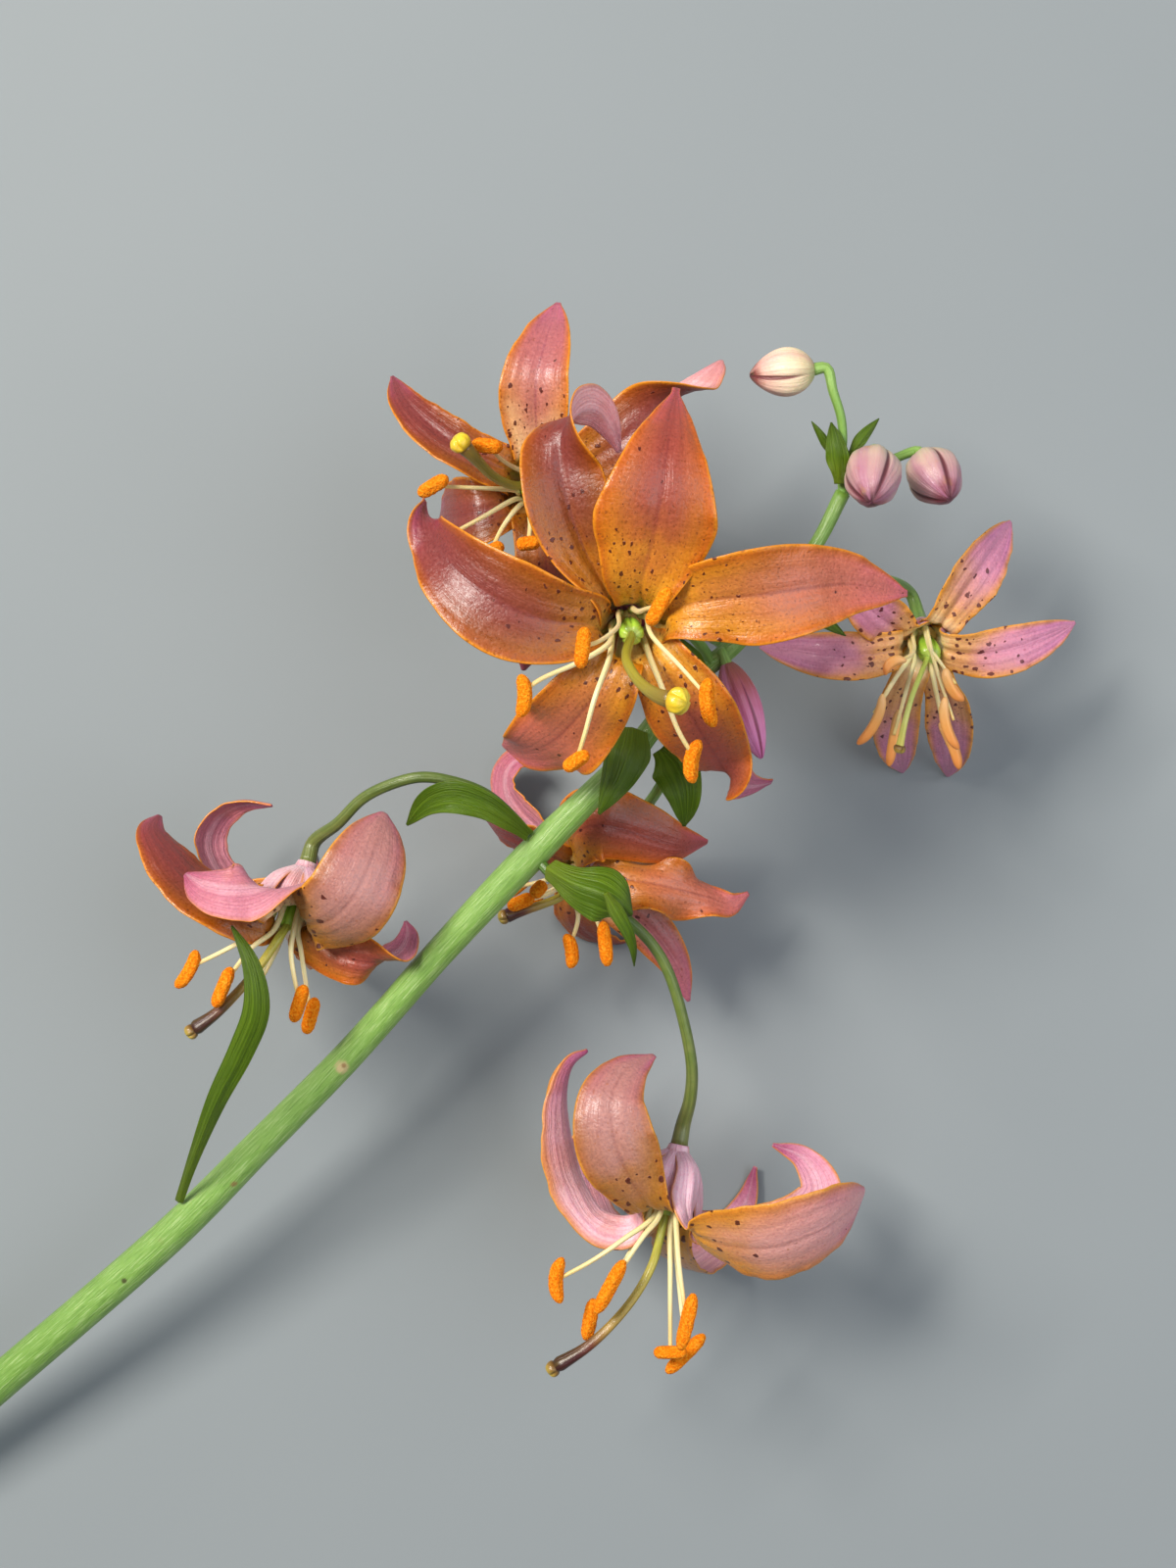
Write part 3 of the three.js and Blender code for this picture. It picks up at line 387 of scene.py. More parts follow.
def skinGroup():
    # the fine grain of a plant's skin, slow patches in its colour, and shallow puckers
    group, given, made = newGroup("plant skin", [("Grain", "Float", 2600.0), ("Patch", "Float", 90.0)],
                                  ["Fine", "Slow", "Pucker"])
    where = addNode(group, "TexCoord").outputs["Object"]
    group.links.new(noise(group, where, given["Grain"], 3.0)[0], made["Fine"])
    group.links.new(noise(group, where, given["Patch"], 4.0)[0], made["Slow"])
    group.links.new(noise(group, where, 480.0, 2.0)[0], made["Pucker"])
    return group


veins, freckles, skin = veinGroup(), freckleGroup(), skinGroup()


def newMaterial(name, roughness, subsurface=0.0, coat=0.0, specular=0.5):
    material = bpy.data.materials.new(name)
    material.use_nodes = True
    surface = material.node_tree.nodes["Principled BSDF"].inputs
    surface["Roughness"].default_value = roughness
    surface["Specular IOR Level"].default_value = specular
    surface["Subsurface Weight"].default_value = subsurface
    surface["Subsurface Radius"].default_value = (1.0, 0.45, 0.25)  # red light goes furthest in a petal
    surface["Subsurface Scale"].default_value = 1.2 * mm
    surface["Coat Weight"].default_value = coat
    return material, material.node_tree, surface


def emboss(tree, surface, *layers):
    # bumps one over another, each with its height, its reach in mm and its strength
    inputs = {}
    for height, reach, strength in layers:
        inputs.update({"Height": height, "Distance": reach * mm, "Strength": strength})
        inputs["Normal"] = addNode(tree, "Bump", inputs).outputs[0]
    tree.links.new(inputs["Normal"], surface["Normal"])


def mapsOf(tree):
    # the piece's own two maps, and the shares across and along that the first one holds
    shape, spread = (addNode(tree, "UVMap", uv_map=name).outputs[0] for name in ("shape", "spread"))
    across, along = addNode(tree, "SeparateXYZ", {0: shape}).outputs[:2]
    return shape, spread, across, along


def offMiddle(tree, across):
    # 0 on the midrib, 1 at both edges
    return reckon(tree, "ABSOLUTE", reckon(tree, "SUBTRACT", times(tree, across, 2.0), 1.0))


def patches(tree, grown, span):
    # slow changes around 0
    return times(tree, reckon(tree, "SUBTRACT", grown["Slow"], 0.5), span)


petalSkin = dict(
    grain=2200.0, uneven=0.4, wander=0.1,
    patch=95.0, veins=18.0, backPatch=120.0, backVeins=24.0,
    flankFrom=(0.64, 0.97), edgeFrom=(0.9, 1.0), backEdgeFrom=(0.8, 0.99),  # 0 is the midrib, 1 the edge
    ribWide=0.08, throatWide=0.3, keelWide=0.3,
    throatShare=0.7, freckleDepth=0.92, stippleDepth=0.5, stippleSpacing=0.62, stippleSize=0.24,
    fewestFreckles=0.012, fewestStipples=0.04,
)


def petalInside(name, look):
    s = petalSkin
    material, tree, surface = newMaterial(name, look["roughness"], subsurface=0.1, coat=0.06)
    shape, spread, across, along = mapsOf(tree)
    out = offMiddle(tree, across)
    grown = useGroup(tree, skin, {"Grain": s["grain"], "Patch": s["patch"]})
    lines = useGroup(tree, veins, {"Shape": shape, "Spread": spread, "Count": s["veins"],
                                   "Wander": s["wander"]})
    slow = patches(tree, grown, s["uneven"])
    place = reckon(tree, "ADD", along, slow)
    # the colour from foot to tip; its cream foot is partly the petal's own, partly painted light against the
    # shade deep in the bell
    colour = colourRun(tree, place, look["run"])
    heart = times(tree, fade(tree, reckon(tree, "ADD", out, slow), 0.85, 0.15),
                  fade(tree, place, *look["heartFrom"]))
    colour = tint(tree, colour, look["heart"], times(tree, heart, look["heartShare"]))
    colour = tint(tree, colour, look["vein"], times(tree, lines["Lines"], look["veinShare"]))
    rim = reckon(tree, "ADD", out, times(tree, slow, 0.3))
    colour = tint(tree, colour, look["flank"], fade(tree, rim, *s["flankFrom"], 0.0, look["flankShare"]))
    edge = times(tree, fade(tree, rim, *s["edgeFrom"]), fade(tree, along, 1.0, 0.9, 0.2, 0.8))
    colour = tint(tree, colour, look["edge"], edge)
    rib = times(tree, fade(tree, out, s["ribWide"], 0.0), fade(tree, along, 0.16, 0.4))
    rib = times(tree, rib, fade(tree, along, 0.98, 0.7))
    colour = tint(tree, colour, look["rib"], times(tree, rib, look["ribShare"]))
    # a throat colour by the midrib near the foot: yellow-green in most looks, and a bright cream in bloom E
    # that is partly painted light
    throat = times(tree, fade(tree, out, s["throatWide"], 0.0), fade(tree, along, 0.26, 0.1))
    colour = tint(tree, colour, look["throat"], times(tree, throat, s["throatShare"]))
    started = fade(tree, along, *look["freckleFrom"])
    fewer = fade(tree, place, 0.3, 0.85, look["stippleShare"], s["fewestStipples"])
    stipple = useGroup(tree, freckles, {"Spread": spread, "Spacing": s["stippleSpacing"],
                                        "Size": s["stippleSize"], "Amount": times(tree, started, fewer)})
    colour = tint(tree, colour, look["stipple"], times(tree, stipple["Mask"], s["stippleDepth"]))
    end = look["freckleEnd"]
    fewer = fade(tree, along, end * 0.45, end, look["freckleShare"], s["fewestFreckles"])
    dots = useGroup(tree, freckles, {"Spread": spread, "Spacing": look["freckleSpacing"],
                                     "Size": look["freckleSize"], "Amount": times(tree, started, fewer)})
    colour = tint(tree, colour, look["freckle"], times(tree, dots["Mask"], s["freckleDepth"]))
    colour = speckle(tree, colour, grown["Fine"], 0.17, "503018", "fff0d0")
    tree.links.new(colour, surface["Base Color"])
    rough = fade(tree, grown["Fine"], 0.3, 0.7, look["roughness"] - 0.1, look["roughness"] + 0.1)
    tree.links.new(rough, surface["Roughness"])
    emboss(tree, surface, (lines["Height"], 0.1, 1.0), (grown["Pucker"], 0.35, 0.5),
           (grown["Fine"], 0.12, 0.7), (dots["Mask"], 0.1, 0.8))
    return material


def petalBack(name, look):
    s = petalSkin
    material, tree, surface = newMaterial(name, 0.4, subsurface=0.12, specular=0.4)
    shape, spread, across, along = mapsOf(tree)
    out = offMiddle(tree, across)
    grown = useGroup(tree, skin, {"Grain": s["grain"], "Patch": s["backPatch"]})
    lines = useGroup(tree, veins, {"Shape": shape, "Spread": spread, "Count": s["backVeins"],
                                   "Wander": s["wander"]})
    slow = patches(tree, grown, s["uneven"])
    colour = colourRun(tree, reckon(tree, "ADD", along, slow), look["backRun"])
    keel = fade(tree, reckon(tree, "ADD", out, slow), s["keelWide"], 0.02)
    colour = tint(tree, colour, look["keel"], times(tree, keel, 0.3))
    colour = tint(tree, colour, look["backVein"], times(tree, lines["Lines"], 0.28))
    colour = tint(tree, colour, look["backFlush"], fade(tree, grown["Slow"], 0.52, 0.68, 0.0, 0.35))
    edge = fade(tree, reckon(tree, "ADD", out, times(tree, slow, 0.4)), *s["backEdgeFrom"])
    colour = tint(tree, colour, look["backEdge"], times(tree, edge, look["backEdgeShare"]))
    colour = speckle(tree, colour, grown["Fine"], 0.18, "6a3040", "fff0f6")
    tree.links.new(colour, surface["Base Color"])
    tree.links.new(fade(tree, grown["Fine"], 0.3, 0.7, 0.32, 0.5), surface["Roughness"])
    emboss(tree, surface, (lines["Height"], 0.25, 1.0), (grown["Pucker"], 0.25, 0.5),
           (grown["Fine"], 0.12, 0.8))
    return material


# the front petals: ochre low down, rust and dusky rose further out, a thin golden rim
orangeLook = dict(
    roughness=0.37,
    run=[(0.0, "f2e8c0"), (0.12, "e4c070"), (0.26, "dc9824"), (0.42, "c87808"), (0.6, "a4561c"),
         (0.82, "a85438"), (1.0, "b84c5c")],
    heart="8c3c38", heartShare=0.8, heartFrom=(0.24, 0.54),
    flank="b85800", flankShare=0.85,
    vein="743018", veinShare=0.09, edge="dc8a10",
    rib="6a2428", ribShare=0.4, throat="b8b850",
    freckle="4c1006", freckleFrom=(0.12, 0.2), freckleEnd=0.6, freckleShare=0.5,
    freckleSpacing=1.35, freckleSize=0.21,
    stipple="70340c", stippleShare=0.6,
    backRun=[(0.0, "f4d0d4"), (0.15, "e4b8c0"), (0.5, "c88490"), (0.8, "c47888"), (1.0, "b85c7c")],
    keel="f0ccd4", backVein="8c3460", backFlush="cc8468", backEdge="cc7c34", backEdgeShare=0.5,
)
# a lighter one, flushed with rose: partly the petals' own colour, partly painted light on petals that tilt
# away from the lamp
amberLook = dict(
    orangeLook,
    run=[(0.0, "f2e8c0"), (0.12, "e0b860"), (0.26, "d08c18"), (0.42, "c0780c"), (0.6, "b8682c"),
         (0.8, "d0705c"), (1.0, "cc6478")],
    heart="b06458", heartShare=0.55, flank="bc6000",
)
# blooms B and C: more rose in them, cream at the foot
roseLook = dict(
    orangeLook,
    run=[(0.0, "f4eaca"), (0.18, "f8e6c0"), (0.34, "ecc490"), (0.5, "c88450"), (0.66, "ac6054"),
         (0.84, "a85c68"), (1.0, "b45c80")],
    heart="a8646c", heartShare=0.6, flank="b86410", rib="7a2c48",
    freckleShare=0.8, freckleEnd=0.72, freckleSpacing=1.35,
)
# painted shade: a darker copy for petals that turn away from the light, or stand behind the others
paintedShadeLook = dict(
    orangeLook,
    run=[(0.0, "e8d8b0"), (0.12, "d0a460"), (0.26, "a86818"), (0.45, "8c4c08"), (0.66, "803818"),
         (0.84, "843434"), (1.0, "a44c70")],
    heart="783434", flank="9c4c00",
    # a lighter reverse: painted light on tips that curl back into shade
    backRun=[(0.0, "f4d0d4"), (0.15, "e4b8c0"), (0.5, "e0a4a4"), (0.8, "fcbcb8"), (1.0, "f8a0a8")],
)
# bloom F, which hangs: pink with a golden rim
salmonLook = dict(
    orangeLook,
    run=[(0.0, "ece2b0"), (0.12, "e0c068"), (0.26, "d89820"), (0.42, "cc882c"), (0.6, "c88464"),
         (0.82, "d08c8c"), (1.0, "b85880")],
    heart="d49c9c", heartShare=0.75, heartFrom=(0.3, 0.55),
    flank="c47408", flankShare=0.7, throat="c8c870", veinShare=0.1, edge="d89428", ribShare=0.2,
    freckleShare=0.6, freckleEnd=0.6, freckleSpacing=1.7, freckleSize=0.28,
    stipple="a05c30", stippleShare=0.2,
    # the reverse from foot to tip: its near-white pink foot, which makes bloom F's bell, is partly its own
    # colour, partly painted light against the shadow cast on the bell
    backRun=[(0.0, "f8c4d4"), (0.15, "ffd4e0"), (0.3, "f0c0c8"), (0.6, "e0acac"), (0.82, "dc9cac"),
             (1.0, "c05c88")],
    backVein="a04480", backEdge="c87c1c", backEdgeShare=0.8,
)
# a darker copy, on one petal each of blooms C and F: partly their own duskier tone, partly painted shade
paintedShadeSalmonLook = dict(
    salmonLook,
    run=[(0.0, "dcd0a0"), (0.12, "c89c4c"), (0.26, "a87014"), (0.42, "a46c2c"), (0.6, "a06c5c"),
         (0.82, "ac6c70"), (1.0, "b45c80")],
    heart="ac7c78", flank="a05c0c",
)
# bloom E, freshly opened: cream and gold inside, mauve at the tips, large freckles; its near-white foot and
# throat are partly its own cream, partly painted light against the shade in its bell
mauveLook = dict(
    orangeLook,
    run=[(0.0, "fffce4"), (0.14, "f4e0b4"), (0.28, "e0a868"), (0.46, "cc8c5c"), (0.58, "c87c90"),
         (0.8, "c87ca4"), (1.0, "d080ac")],
    heart="cc88a4", heartShare=0.75, heartFrom=(0.35, 0.55),
    flank="d08818", flankShare=0.75, throat="f4f4c8",
    vein="9c4470", veinShare=0.06, edge="dc9420", rib="a04878", ribShare=0.2,
    freckle="541414", freckleFrom=(0.26, 0.34), freckleEnd=0.72, freckleShare=0.75,
    freckleSpacing=1.3, freckleSize=0.27,
    stipple="a45068", stippleShare=0.05,
)
petalLooks = dict(orange=orangeLook, amber=amberLook, rose=roseLook, dusk=paintedShadeLook, salmon=salmonLook,
                  duskySalmon=paintedShadeSalmonLook, mauve=mauveLook)
petalFinishes = {name: [petalInside(name + " petal inside", look), petalBack(name + " petal back", look)]
                 for name, look in petalLooks.items()}


def plainGrown(name, look):
    # smooth living parts: a colour that changes from foot to tip, fine streaks along it and a soft grain
    material, tree, surface = newMaterial(name, look["roughness"], look.get("subsurface", 0.1),
                                          look.get("coat", 0.0), look.get("specular", 0.5))
    shape, spread, _, along = mapsOf(tree)
    grown = useGroup(tree, skin, {"Grain": look.get("grain", 1800.0), "Patch": look.get("patch", 150.0)})
    lines = useGroup(tree, veins, {"Shape": shape, "Spread": spread, "Count": look["streaks"],
                                   "Wander": 0.06})
    slow = patches(tree, grown, look.get("uneven", 0.15))
    colour = colourRun(tree, reckon(tree, "ADD", along, slow), look["run"])
    colour = tint(tree, colour, look["streak"], times(tree, lines["Lines"], look["streakShare"]))
    tree.links.new(colour, surface["Base Color"])
    emboss(tree, surface, (lines["Height"], look.get("relief", 0.2), 1.0),
           (grown["Fine"], look.get("grainHeight", 0.08), 0.7))
    return material


def stemSkin(name, look):
    # green, with short pale flecks along it, and a few scars and brown marks
    material, tree, surface = newMaterial(name, 0.38, subsurface=0.1, coat=0.08)
    _, spread, _, along = mapsOf(tree)
    grown = useGroup(tree, skin, {"Grain": 1800.0, "Patch": 60.0})
    colour = colourRun(tree, reckon(tree, "ADD", along, patches(tree, grown, 0.3)), look["run"])
    drawn = addNode(tree, "VectorMath", {0: spread, 1: (1, 0.05, 0)}, operation="MULTIPLY").outputs[0]
    flecks = addNode(tree, "TexNoise", {"Vector": drawn, "Scale": 4.0, "Detail": 5.0, "Roughness": 0.65},
                     noise_dimensions="2D").outputs[0]
    colour = tint(tree, colour, look["pale"], fade(tree, flecks, 0.5, 0.72, 0.0, 0.6))
    colour = tint(tree, colour, look["deep"], fade(tree, flecks, 0.5, 0.3, 0.0, 0.5))
    where = addNode(tree, "TexCoord").outputs["Object"]
    for place, size, code in look["marks"]:
        reach = size * mm
        away = addNode(tree, "VectorMath", {0: where, 1: seen(place)}, operation="DISTANCE").outputs["Value"]
        ragged = reckon(tree, "ADD", away, times(tree, flecks, reach))
        colour = tint(tree, colour, code, fade(tree, ragged, reach * 1.3, reach * 0.8, 0.0, 0.85))
    tree.links.new(colour, surface["Base Color"])
    emboss(tree, surface, (flecks, 0.14, 1.0), (grown["Fine"], 0.08, 0.7))
    return material


def budSkin(name, look):
    # six closed petals: cream, flushed along the middles, with three dark seams that meet at the tip
    material, tree, surface = newMaterial(name, 0.38, subsurface=0.15, coat=0.05)
    shape, spread, across, along = mapsOf(tree)
    grown = useGroup(tree, skin, {"Grain": 1800.0, "Patch": 260.0})
    lines = useGroup(tree, veins, {"Shape": shape, "Spread": spread, "Count": 30.0, "Wander": 0.05})
    slow = patches(tree, grown, 0.3)
    colour = colourRun(tree, reckon(tree, "ADD", along, slow), look["run"])
    third = reckon(tree, "FRACT", times(tree, reckon(tree, "ADD", across, 0.02), 3.0))
    away = reckon(tree, "ABSOLUTE", reckon(tree, "SUBTRACT", third, 0.5))  # 0 on a seam, 0.5 between two
    middle = fade(tree, reckon(tree, "ADD", away, slow), 0.3, 0.5, 0.0, 0.55)
    colour = tint(tree, colour, look["flush"], middle)
    colour = tint(tree, colour, look["flush"], times(tree, lines["Lines"], 0.22))
    colour = tint(tree, colour, look["gold"], fade(tree, grown["Slow"], 0.6, 0.72, 0.0, 0.4))
    narrow = fade(tree, along, 0.2, 1.0, 0.035, 0.12)
    seam = fade(tree, reckon(tree, "DIVIDE", away, narrow), 1.0, 0.3)
    seam = times(tree, seam, fade(tree, along, 0.1, 0.4, 0.15, 0.9))
    colour = tint(tree, colour, look["seam"], seam)
    tree.links.new(colour, surface["Base Color"])
    emboss(tree, surface, (lines["Height"], 0.25, 1.0), (grown["Fine"], 0.1, 0.7))
    return material


def pollenCoat(name, light, dark):
    material, tree, surface = newMaterial(name, 0.92, subsurface=0.05, specular=0.2)
    where = addNode(tree, "TexCoord").outputs["Object"]
    grains = addNode(tree, "TexVoronoi", {"Vector": where, "Scale": 5200.0}).outputs[0]
    clumps = noise(tree, where, 2400.0, 4.0)[0]
    colour = colourRun(tree, clumps, [(0.34, dark), (0.5, light), (0.72, "ffae30")])
    colour = tint(tree, colour, dark, fade(tree, grains, 0.3, 0.9, 0.0, 0.3))
    tree.links.new(colour, surface["Base Color"])
    emboss(tree, surface, (clumps, 0.3, 1.0), (grains, -0.15, 0.8))
    return material


# Blooms. seat is where the flower stalk meets the bloom, mouth the way it faces, bell the length of the
# closed foot of its petals. Each petal's rib, each stamen and the style go on from the bell.

blooms = [dict(
    name="bloom_a", finish="orange", seat=(640, 626, 56), mouth=(0.05, -0.35, 0.93), bell=8,
    styleFinish="style", stigmaFinish="stigma", stigmaSize=1.1,
    stalk=[(728, 678, 45), (712, 655, 44), (690, 632, 45), (665, 612, 48)],
    style=[(640, 675, 81), (655, 698, 87), (674, 711, 91), (690, 715, 92.6)],
    petals=[
        dict(wide=19.5, cup=-0.1, fold=0.12, belly=0.5, point=1.15, taper=1.05, rib=[
            (654, 594, 72), (664, 555, 76), (673, 508, 79), (680, 462, 78), (686, 425, 73), (690, 396, 67)]),
        dict(finish="amber", wide=15.5, cup=0.1, fold=0.12, belly=0.5, point=1.5,
             turns=[(0.4, 0), (0.7, -20)], rib=[
                 (686, 622, 69), (730, 611, 73), (780, 606, 74), (825, 600, 72), (862, 596, 68),
                 (895, 600, 64), (926, 606, 60)]),
        dict(wide=14.5, cup=-0.1, belly=0.46, point=1.3, turns=[(0.7, 0), (0.84, 150)], rib=[
            (668, 668, 67), (688, 700, 68), (707, 733, 66), (725, 762, 61), (741, 786, 55), (755, 800, 50),
            (771, 801, 46.5), (788, 797, 44)]),
        dict(finish="amber", wide=15.5, cup=0.1, wave=1.6, belly=0.58, point=2.1, rib=[
            (628, 672, 67), (612, 702, 67.5), (590, 730, 64.5), (566, 754, 59.5), (540, 765, 53),
            (514, 762, 47)]),
        dict(finish="dusk", wide=15.8, cup=0.15, fold=0.1, belly=0.5, point=1.4, taper=0.9,
             turns=[(0.82, 0), (0.96, 110)], rib=[
                 (606, 638, 69), (562, 634, 73), (510, 615, 74), (466, 582, 72), (443, 553, 68),
                 (431, 528, 64), (433, 510, 60)]),
        dict(finish="dusk", wide=13.5, fold=0.35, belly=0.5, point=1.4,
             turns=[(0.2, 0), (0.4, -14), (0.55, -14), (0.85, -130)], rib=[
                 (620, 606, 67), (598, 565, 69), (580, 515, 71), (572, 470, 71), (578, 436, 71),
                 (596, 417, 69.5), (612, 420, 67), (624, 438, 65), (632, 462, 63)]),
    ],
    stamens=[
        dict(filament=[(652, 624, 75), (661, 621, 82), (672, 619, 86)],
             anther=[(683, 600, 87), (662, 638, 85)]),
        dict(filament=[(630, 640, 74), (610, 655, 81), (594, 660, 84)],
             anther=[(597, 640, 85), (592, 682, 83)]),
        dict(filament=[(620, 658, 73), (588, 677, 77), (552, 693, 79), (529, 709, 80)],
             anther=[(532, 688, 80), (531, 732, 79)], bow=-0.6),
        dict(filament=[(621, 674, 73.5), (607, 712, 76), (597, 748, 75), (588, 777, 73)],
             anther=[(600, 768, 74), (576, 785, 72)]),
        dict(filament=[(664, 673, 70), (677, 705, 76.5), (692, 745, 77), (711, 777, 75)],
             anther=[(713, 755, 76), (706, 799, 74)], bow=0.6),
        dict(filament=[(666, 650, 74), (694, 680, 80), (726, 716, 83)],
             anther=[(722, 692, 84), (728, 742, 82)], bow=0.5),
    ],
), dict(
    name="bloom_b", finish="rose", seat=(556, 497, 30), mouth=(-0.22, -0.1, 0.97), bell=8,
    styleFinish="style", stigmaFinish="stigma", stigmaSize=0.92,
    stalk=[(745, 662, 44), (712, 640, 38), (665, 590, 27), (618, 535, 20)],
    style=[(518, 494, 50), (501, 484, 54), (489, 472, 57), (480, 462, 59), (471, 453, 60)],
    petals=[
        dict(wide=12, cup=0.15, fold=0.1, rib=[
            (550, 462, 42), (547, 425, 46), (548, 385, 48), (558, 346, 46), (570, 309, 41)]),
        dict(finish="dusk", wide=9, cup=0.15, turns=[(0.15, 0), (0.5, 45)], rib=[
            (518, 480, 42), (478, 462, 45), (441, 438, 44), (413, 410, 41), (400, 384, 36)]),
        dict(finish="dusk", wide=13, cup=0.1, belly=0.6, point=2.2, rib=[
            (514, 515, 40), (490, 523, 41), (468, 526, 38), (455, 527, 32), (450, 527, 25)]),
        dict(finish="dusk", wide=11.5, cup=-0.15, rib=[
            (545, 530, 41), (556, 565, 43), (556, 605, 39), (547, 645, 32), (534, 684, 24)]),
        dict(finish="dusk", wide=13, cup=0.1, belly=0.6, point=2, turns=[(0.55, 0), (0.8, 125)], rib=[
            (576, 484, 43), (613, 464, 47), (650, 438, 49), (686, 410, 48), (713, 388, 44), (736, 368, 38)]),
        dict(wide=11, cup=-0.1, rib=[
            (586, 502, 38), (625, 506, 37), (660, 511, 29), (682, 515, 17), (690, 517, 0.2)]),
    ],
    stamens=[
        dict(filament=[(538, 482, 44), (516, 472, 51), (497, 455, 56)],
             anther=[(513, 457, 56), (481, 453, 56)]),
        dict(filament=[(524, 500, 45), (488, 498, 52), (444, 496, 56)],
             anther=[(457, 487, 57), (427, 505, 55)]),
        dict(filament=[(524, 510, 44), (492, 528, 49), (455, 548, 52)],
             anther=[(440, 545, 52), (470, 551, 52)]),
        dict(filament=[(530, 516, 44), (513, 538, 48), (501, 562, 50)],
             anther=[(514, 556, 50), (487, 569, 50)]),
        dict(filament=[(540, 515, 44), (541, 535, 47), (539, 555, 50)],
             anther=[(527, 556, 50), (551, 553, 50)]),
        dict(filament=[(544, 492, 45), (552, 482, 49), (560, 470, 53)],
             anther=[(552, 458, 54), (568, 482, 53)]),
    ],
), dict(
    name="bloom_c", finish="rose", seat=(314, 880, 33), mouth=(-0.26, -0.94, 0.22), bell=9,
    styleFinish="tippedStyle", stigmaFinish="dullStigma", stigmaSize=0.68,
    claws=dict(footWide=3.4, neckWide=9.6, footCup=0.45, widen=0.8),
    stalk=[(550, 866, 37.5), (524, 835, 39), (495, 810, 41.3), (460, 797, 42), (430, 793, 42),
           (400, 800, 41), (370, 815, 39), (345, 840, 37)],
    style=[(286, 955, 39), (275, 972, 40), (262, 990, 41), (245, 1010, 42), (222, 1033, 43),
           (196, 1052, 43)],
    petals=[
        dict(finish="dusk", wide=13, cup=-0.2, turns=[(0.2, 0), (0.5, 75)], rib=[
            (278, 934, 38), (252, 928, 40), (222, 916, 41), (192, 895, 40), (169, 868, 38), (156, 846, 35),
            (163, 832, 31)]),
        dict(wide=9, cup=-0.3, belly=0.4, point=2, turns=[(0.15, 0), (0.45, -130)], rib=[
            (284, 925, 31), (250, 915, 26), (222, 890, 22), (211, 860, 20), (222, 834, 20), (248, 820, 21),
            (278, 822, 24)]),
        dict(wide=12.5, cup=0.1, turns=[(0.2, 0), (0.35, 35), (0.65, -75)], rib=[
            (290, 920, 43), (275, 908, 47), (255, 908, 49), (232, 908, 50), (208, 903, 48), (189, 892, 44)]),
        dict(finish="duskySalmon", wide=15, cup=-0.15, point=3, rib=[
            (312, 940, 43), (332, 940, 47), (356, 920, 50), (375, 884, 49), (387, 852, 46), (392, 829, 42)]),
        dict(finish="orange", wide=9.5, cup=-0.1, turns=[(0.2, 0), (0.42, -35), (0.6, -35), (0.8, 70)], rib=[
            (312, 948, 36), (334, 968, 37), (362, 979, 39), (389, 980, 38), (407, 972, 36), (416, 956, 33),
            (414, 940, 30)]),
        dict(wide=11, cup=-0.1, rib=[
            (299, 945, 29), (298, 962, 22), (301, 962, 13), (309, 938, 4), (318, 902, 0.2),
            (322, 872, 0.2)]),
    ],
    stamens=[
        dict(filament=[(274, 942, 37), (240, 964, 41), (190, 989, 42)],
             anther=[(201, 970, 42), (180, 1008, 41)], bow=-0.5),
        dict(filament=[(280, 948, 39), (256, 968, 42), (228, 1005, 45.3)],
             anther=[(236, 987, 45.3), (219, 1028, 45.3)]),
        dict(filament=[(300, 948, 39), (297, 972, 40), (305, 1022, 41)],
             anther=[(311, 1005, 41), (299, 1043, 41)]),
        dict(filament=[(304, 948, 37), (307, 970, 36), (317, 1035, 36)],
             anther=[(322, 1018, 36), (312, 1055, 36)]),
        dict(filament=[(284, 950, 34), (270, 985, 33), (257, 1030, 33)],
             anther=[(261, 1012, 34), (253, 1048, 33)]),
        dict(filament=[(290, 950, 33), (277, 980, 30), (260, 1010, 28)],
             anther=[(266, 992, 28), (255, 1026, 28)]),
    ],
), dict(
    name="bloom_d", finish="orange", seat=(622, 866, 15), mouth=(-0.72, -0.6, 0.34), bell=8,
    styleFinish="tippedStyle", stigmaFinish="dullStigma", stigmaSize=0.68,
    stalk=[(716, 690, 43), (702, 732, 41), (690, 770, 38), (672, 805, 31), (650, 835, 20)],
    style=[(572, 915, 22), (556, 922, 23), (538, 928, 24), (515, 935, 24)],
    petals=[
        dict(wide=13.5, cup=-0.2, belly=0.44, point=1.8, turns=[(0.3, 0), (0.6, 10)], rib=[
            (586, 872, 23), (588, 850, 29), (612, 842, 32), (652, 851, 30), (692, 862, 27), (722, 859, 22)]),
        dict(finish="amber", wide=11, cup=-0.1, wave=3, belly=0.5, rib=[
            (598, 893, 24), (632, 897, 28), (675, 904, 28), (718, 915, 25), (745, 923, 22), (764, 911, 20)]),
        dict(finish="rose", wide=8.6, cup=-0.15, turns=[(0.2, 0), (0.45, 75)], rib=[
            (598, 905, 19), (630, 922, 22), (664, 950, 20), (690, 985, 17), (703, 1022, 14)]),
        dict(wide=9, cup=-0.1, rib=[
            (588, 912, 14), (588, 938, 9), (605, 956, 4), (632, 962, 0.4), (656, 954, 1)]),
        dict(wide=10.6, cup=-0.2, belly=0.56, point=1.8, turns=[(0.15, 0), (0.42, 140)], rib=[
            (572, 870, 15), (550, 850, 11), (530, 830, 8), (518, 808, 6.5), (519, 786, 7), (533, 775, 9),
            (545, 781, 11)]),
        dict(finish="dusk", wide=9, cup=-0.1, rib=[
            (574, 880, 21), (552, 866, 22), (528, 856, 20), (508, 847, 16), (497, 836, 11)]),
    ],
    stamens=[
        dict(filament=[(578, 900, 23), (560, 912, 25), (533, 920, 27)],
             anther=[(545, 915, 27), (518, 926, 27)]),
        dict(filament=[(578, 895, 24), (565, 902, 27), (549, 908, 29)],
             anther=[(556, 900, 29), (543, 915, 29)]),
        dict(filament=[(584, 908, 21), (590, 935, 21), (581, 968, 21)],
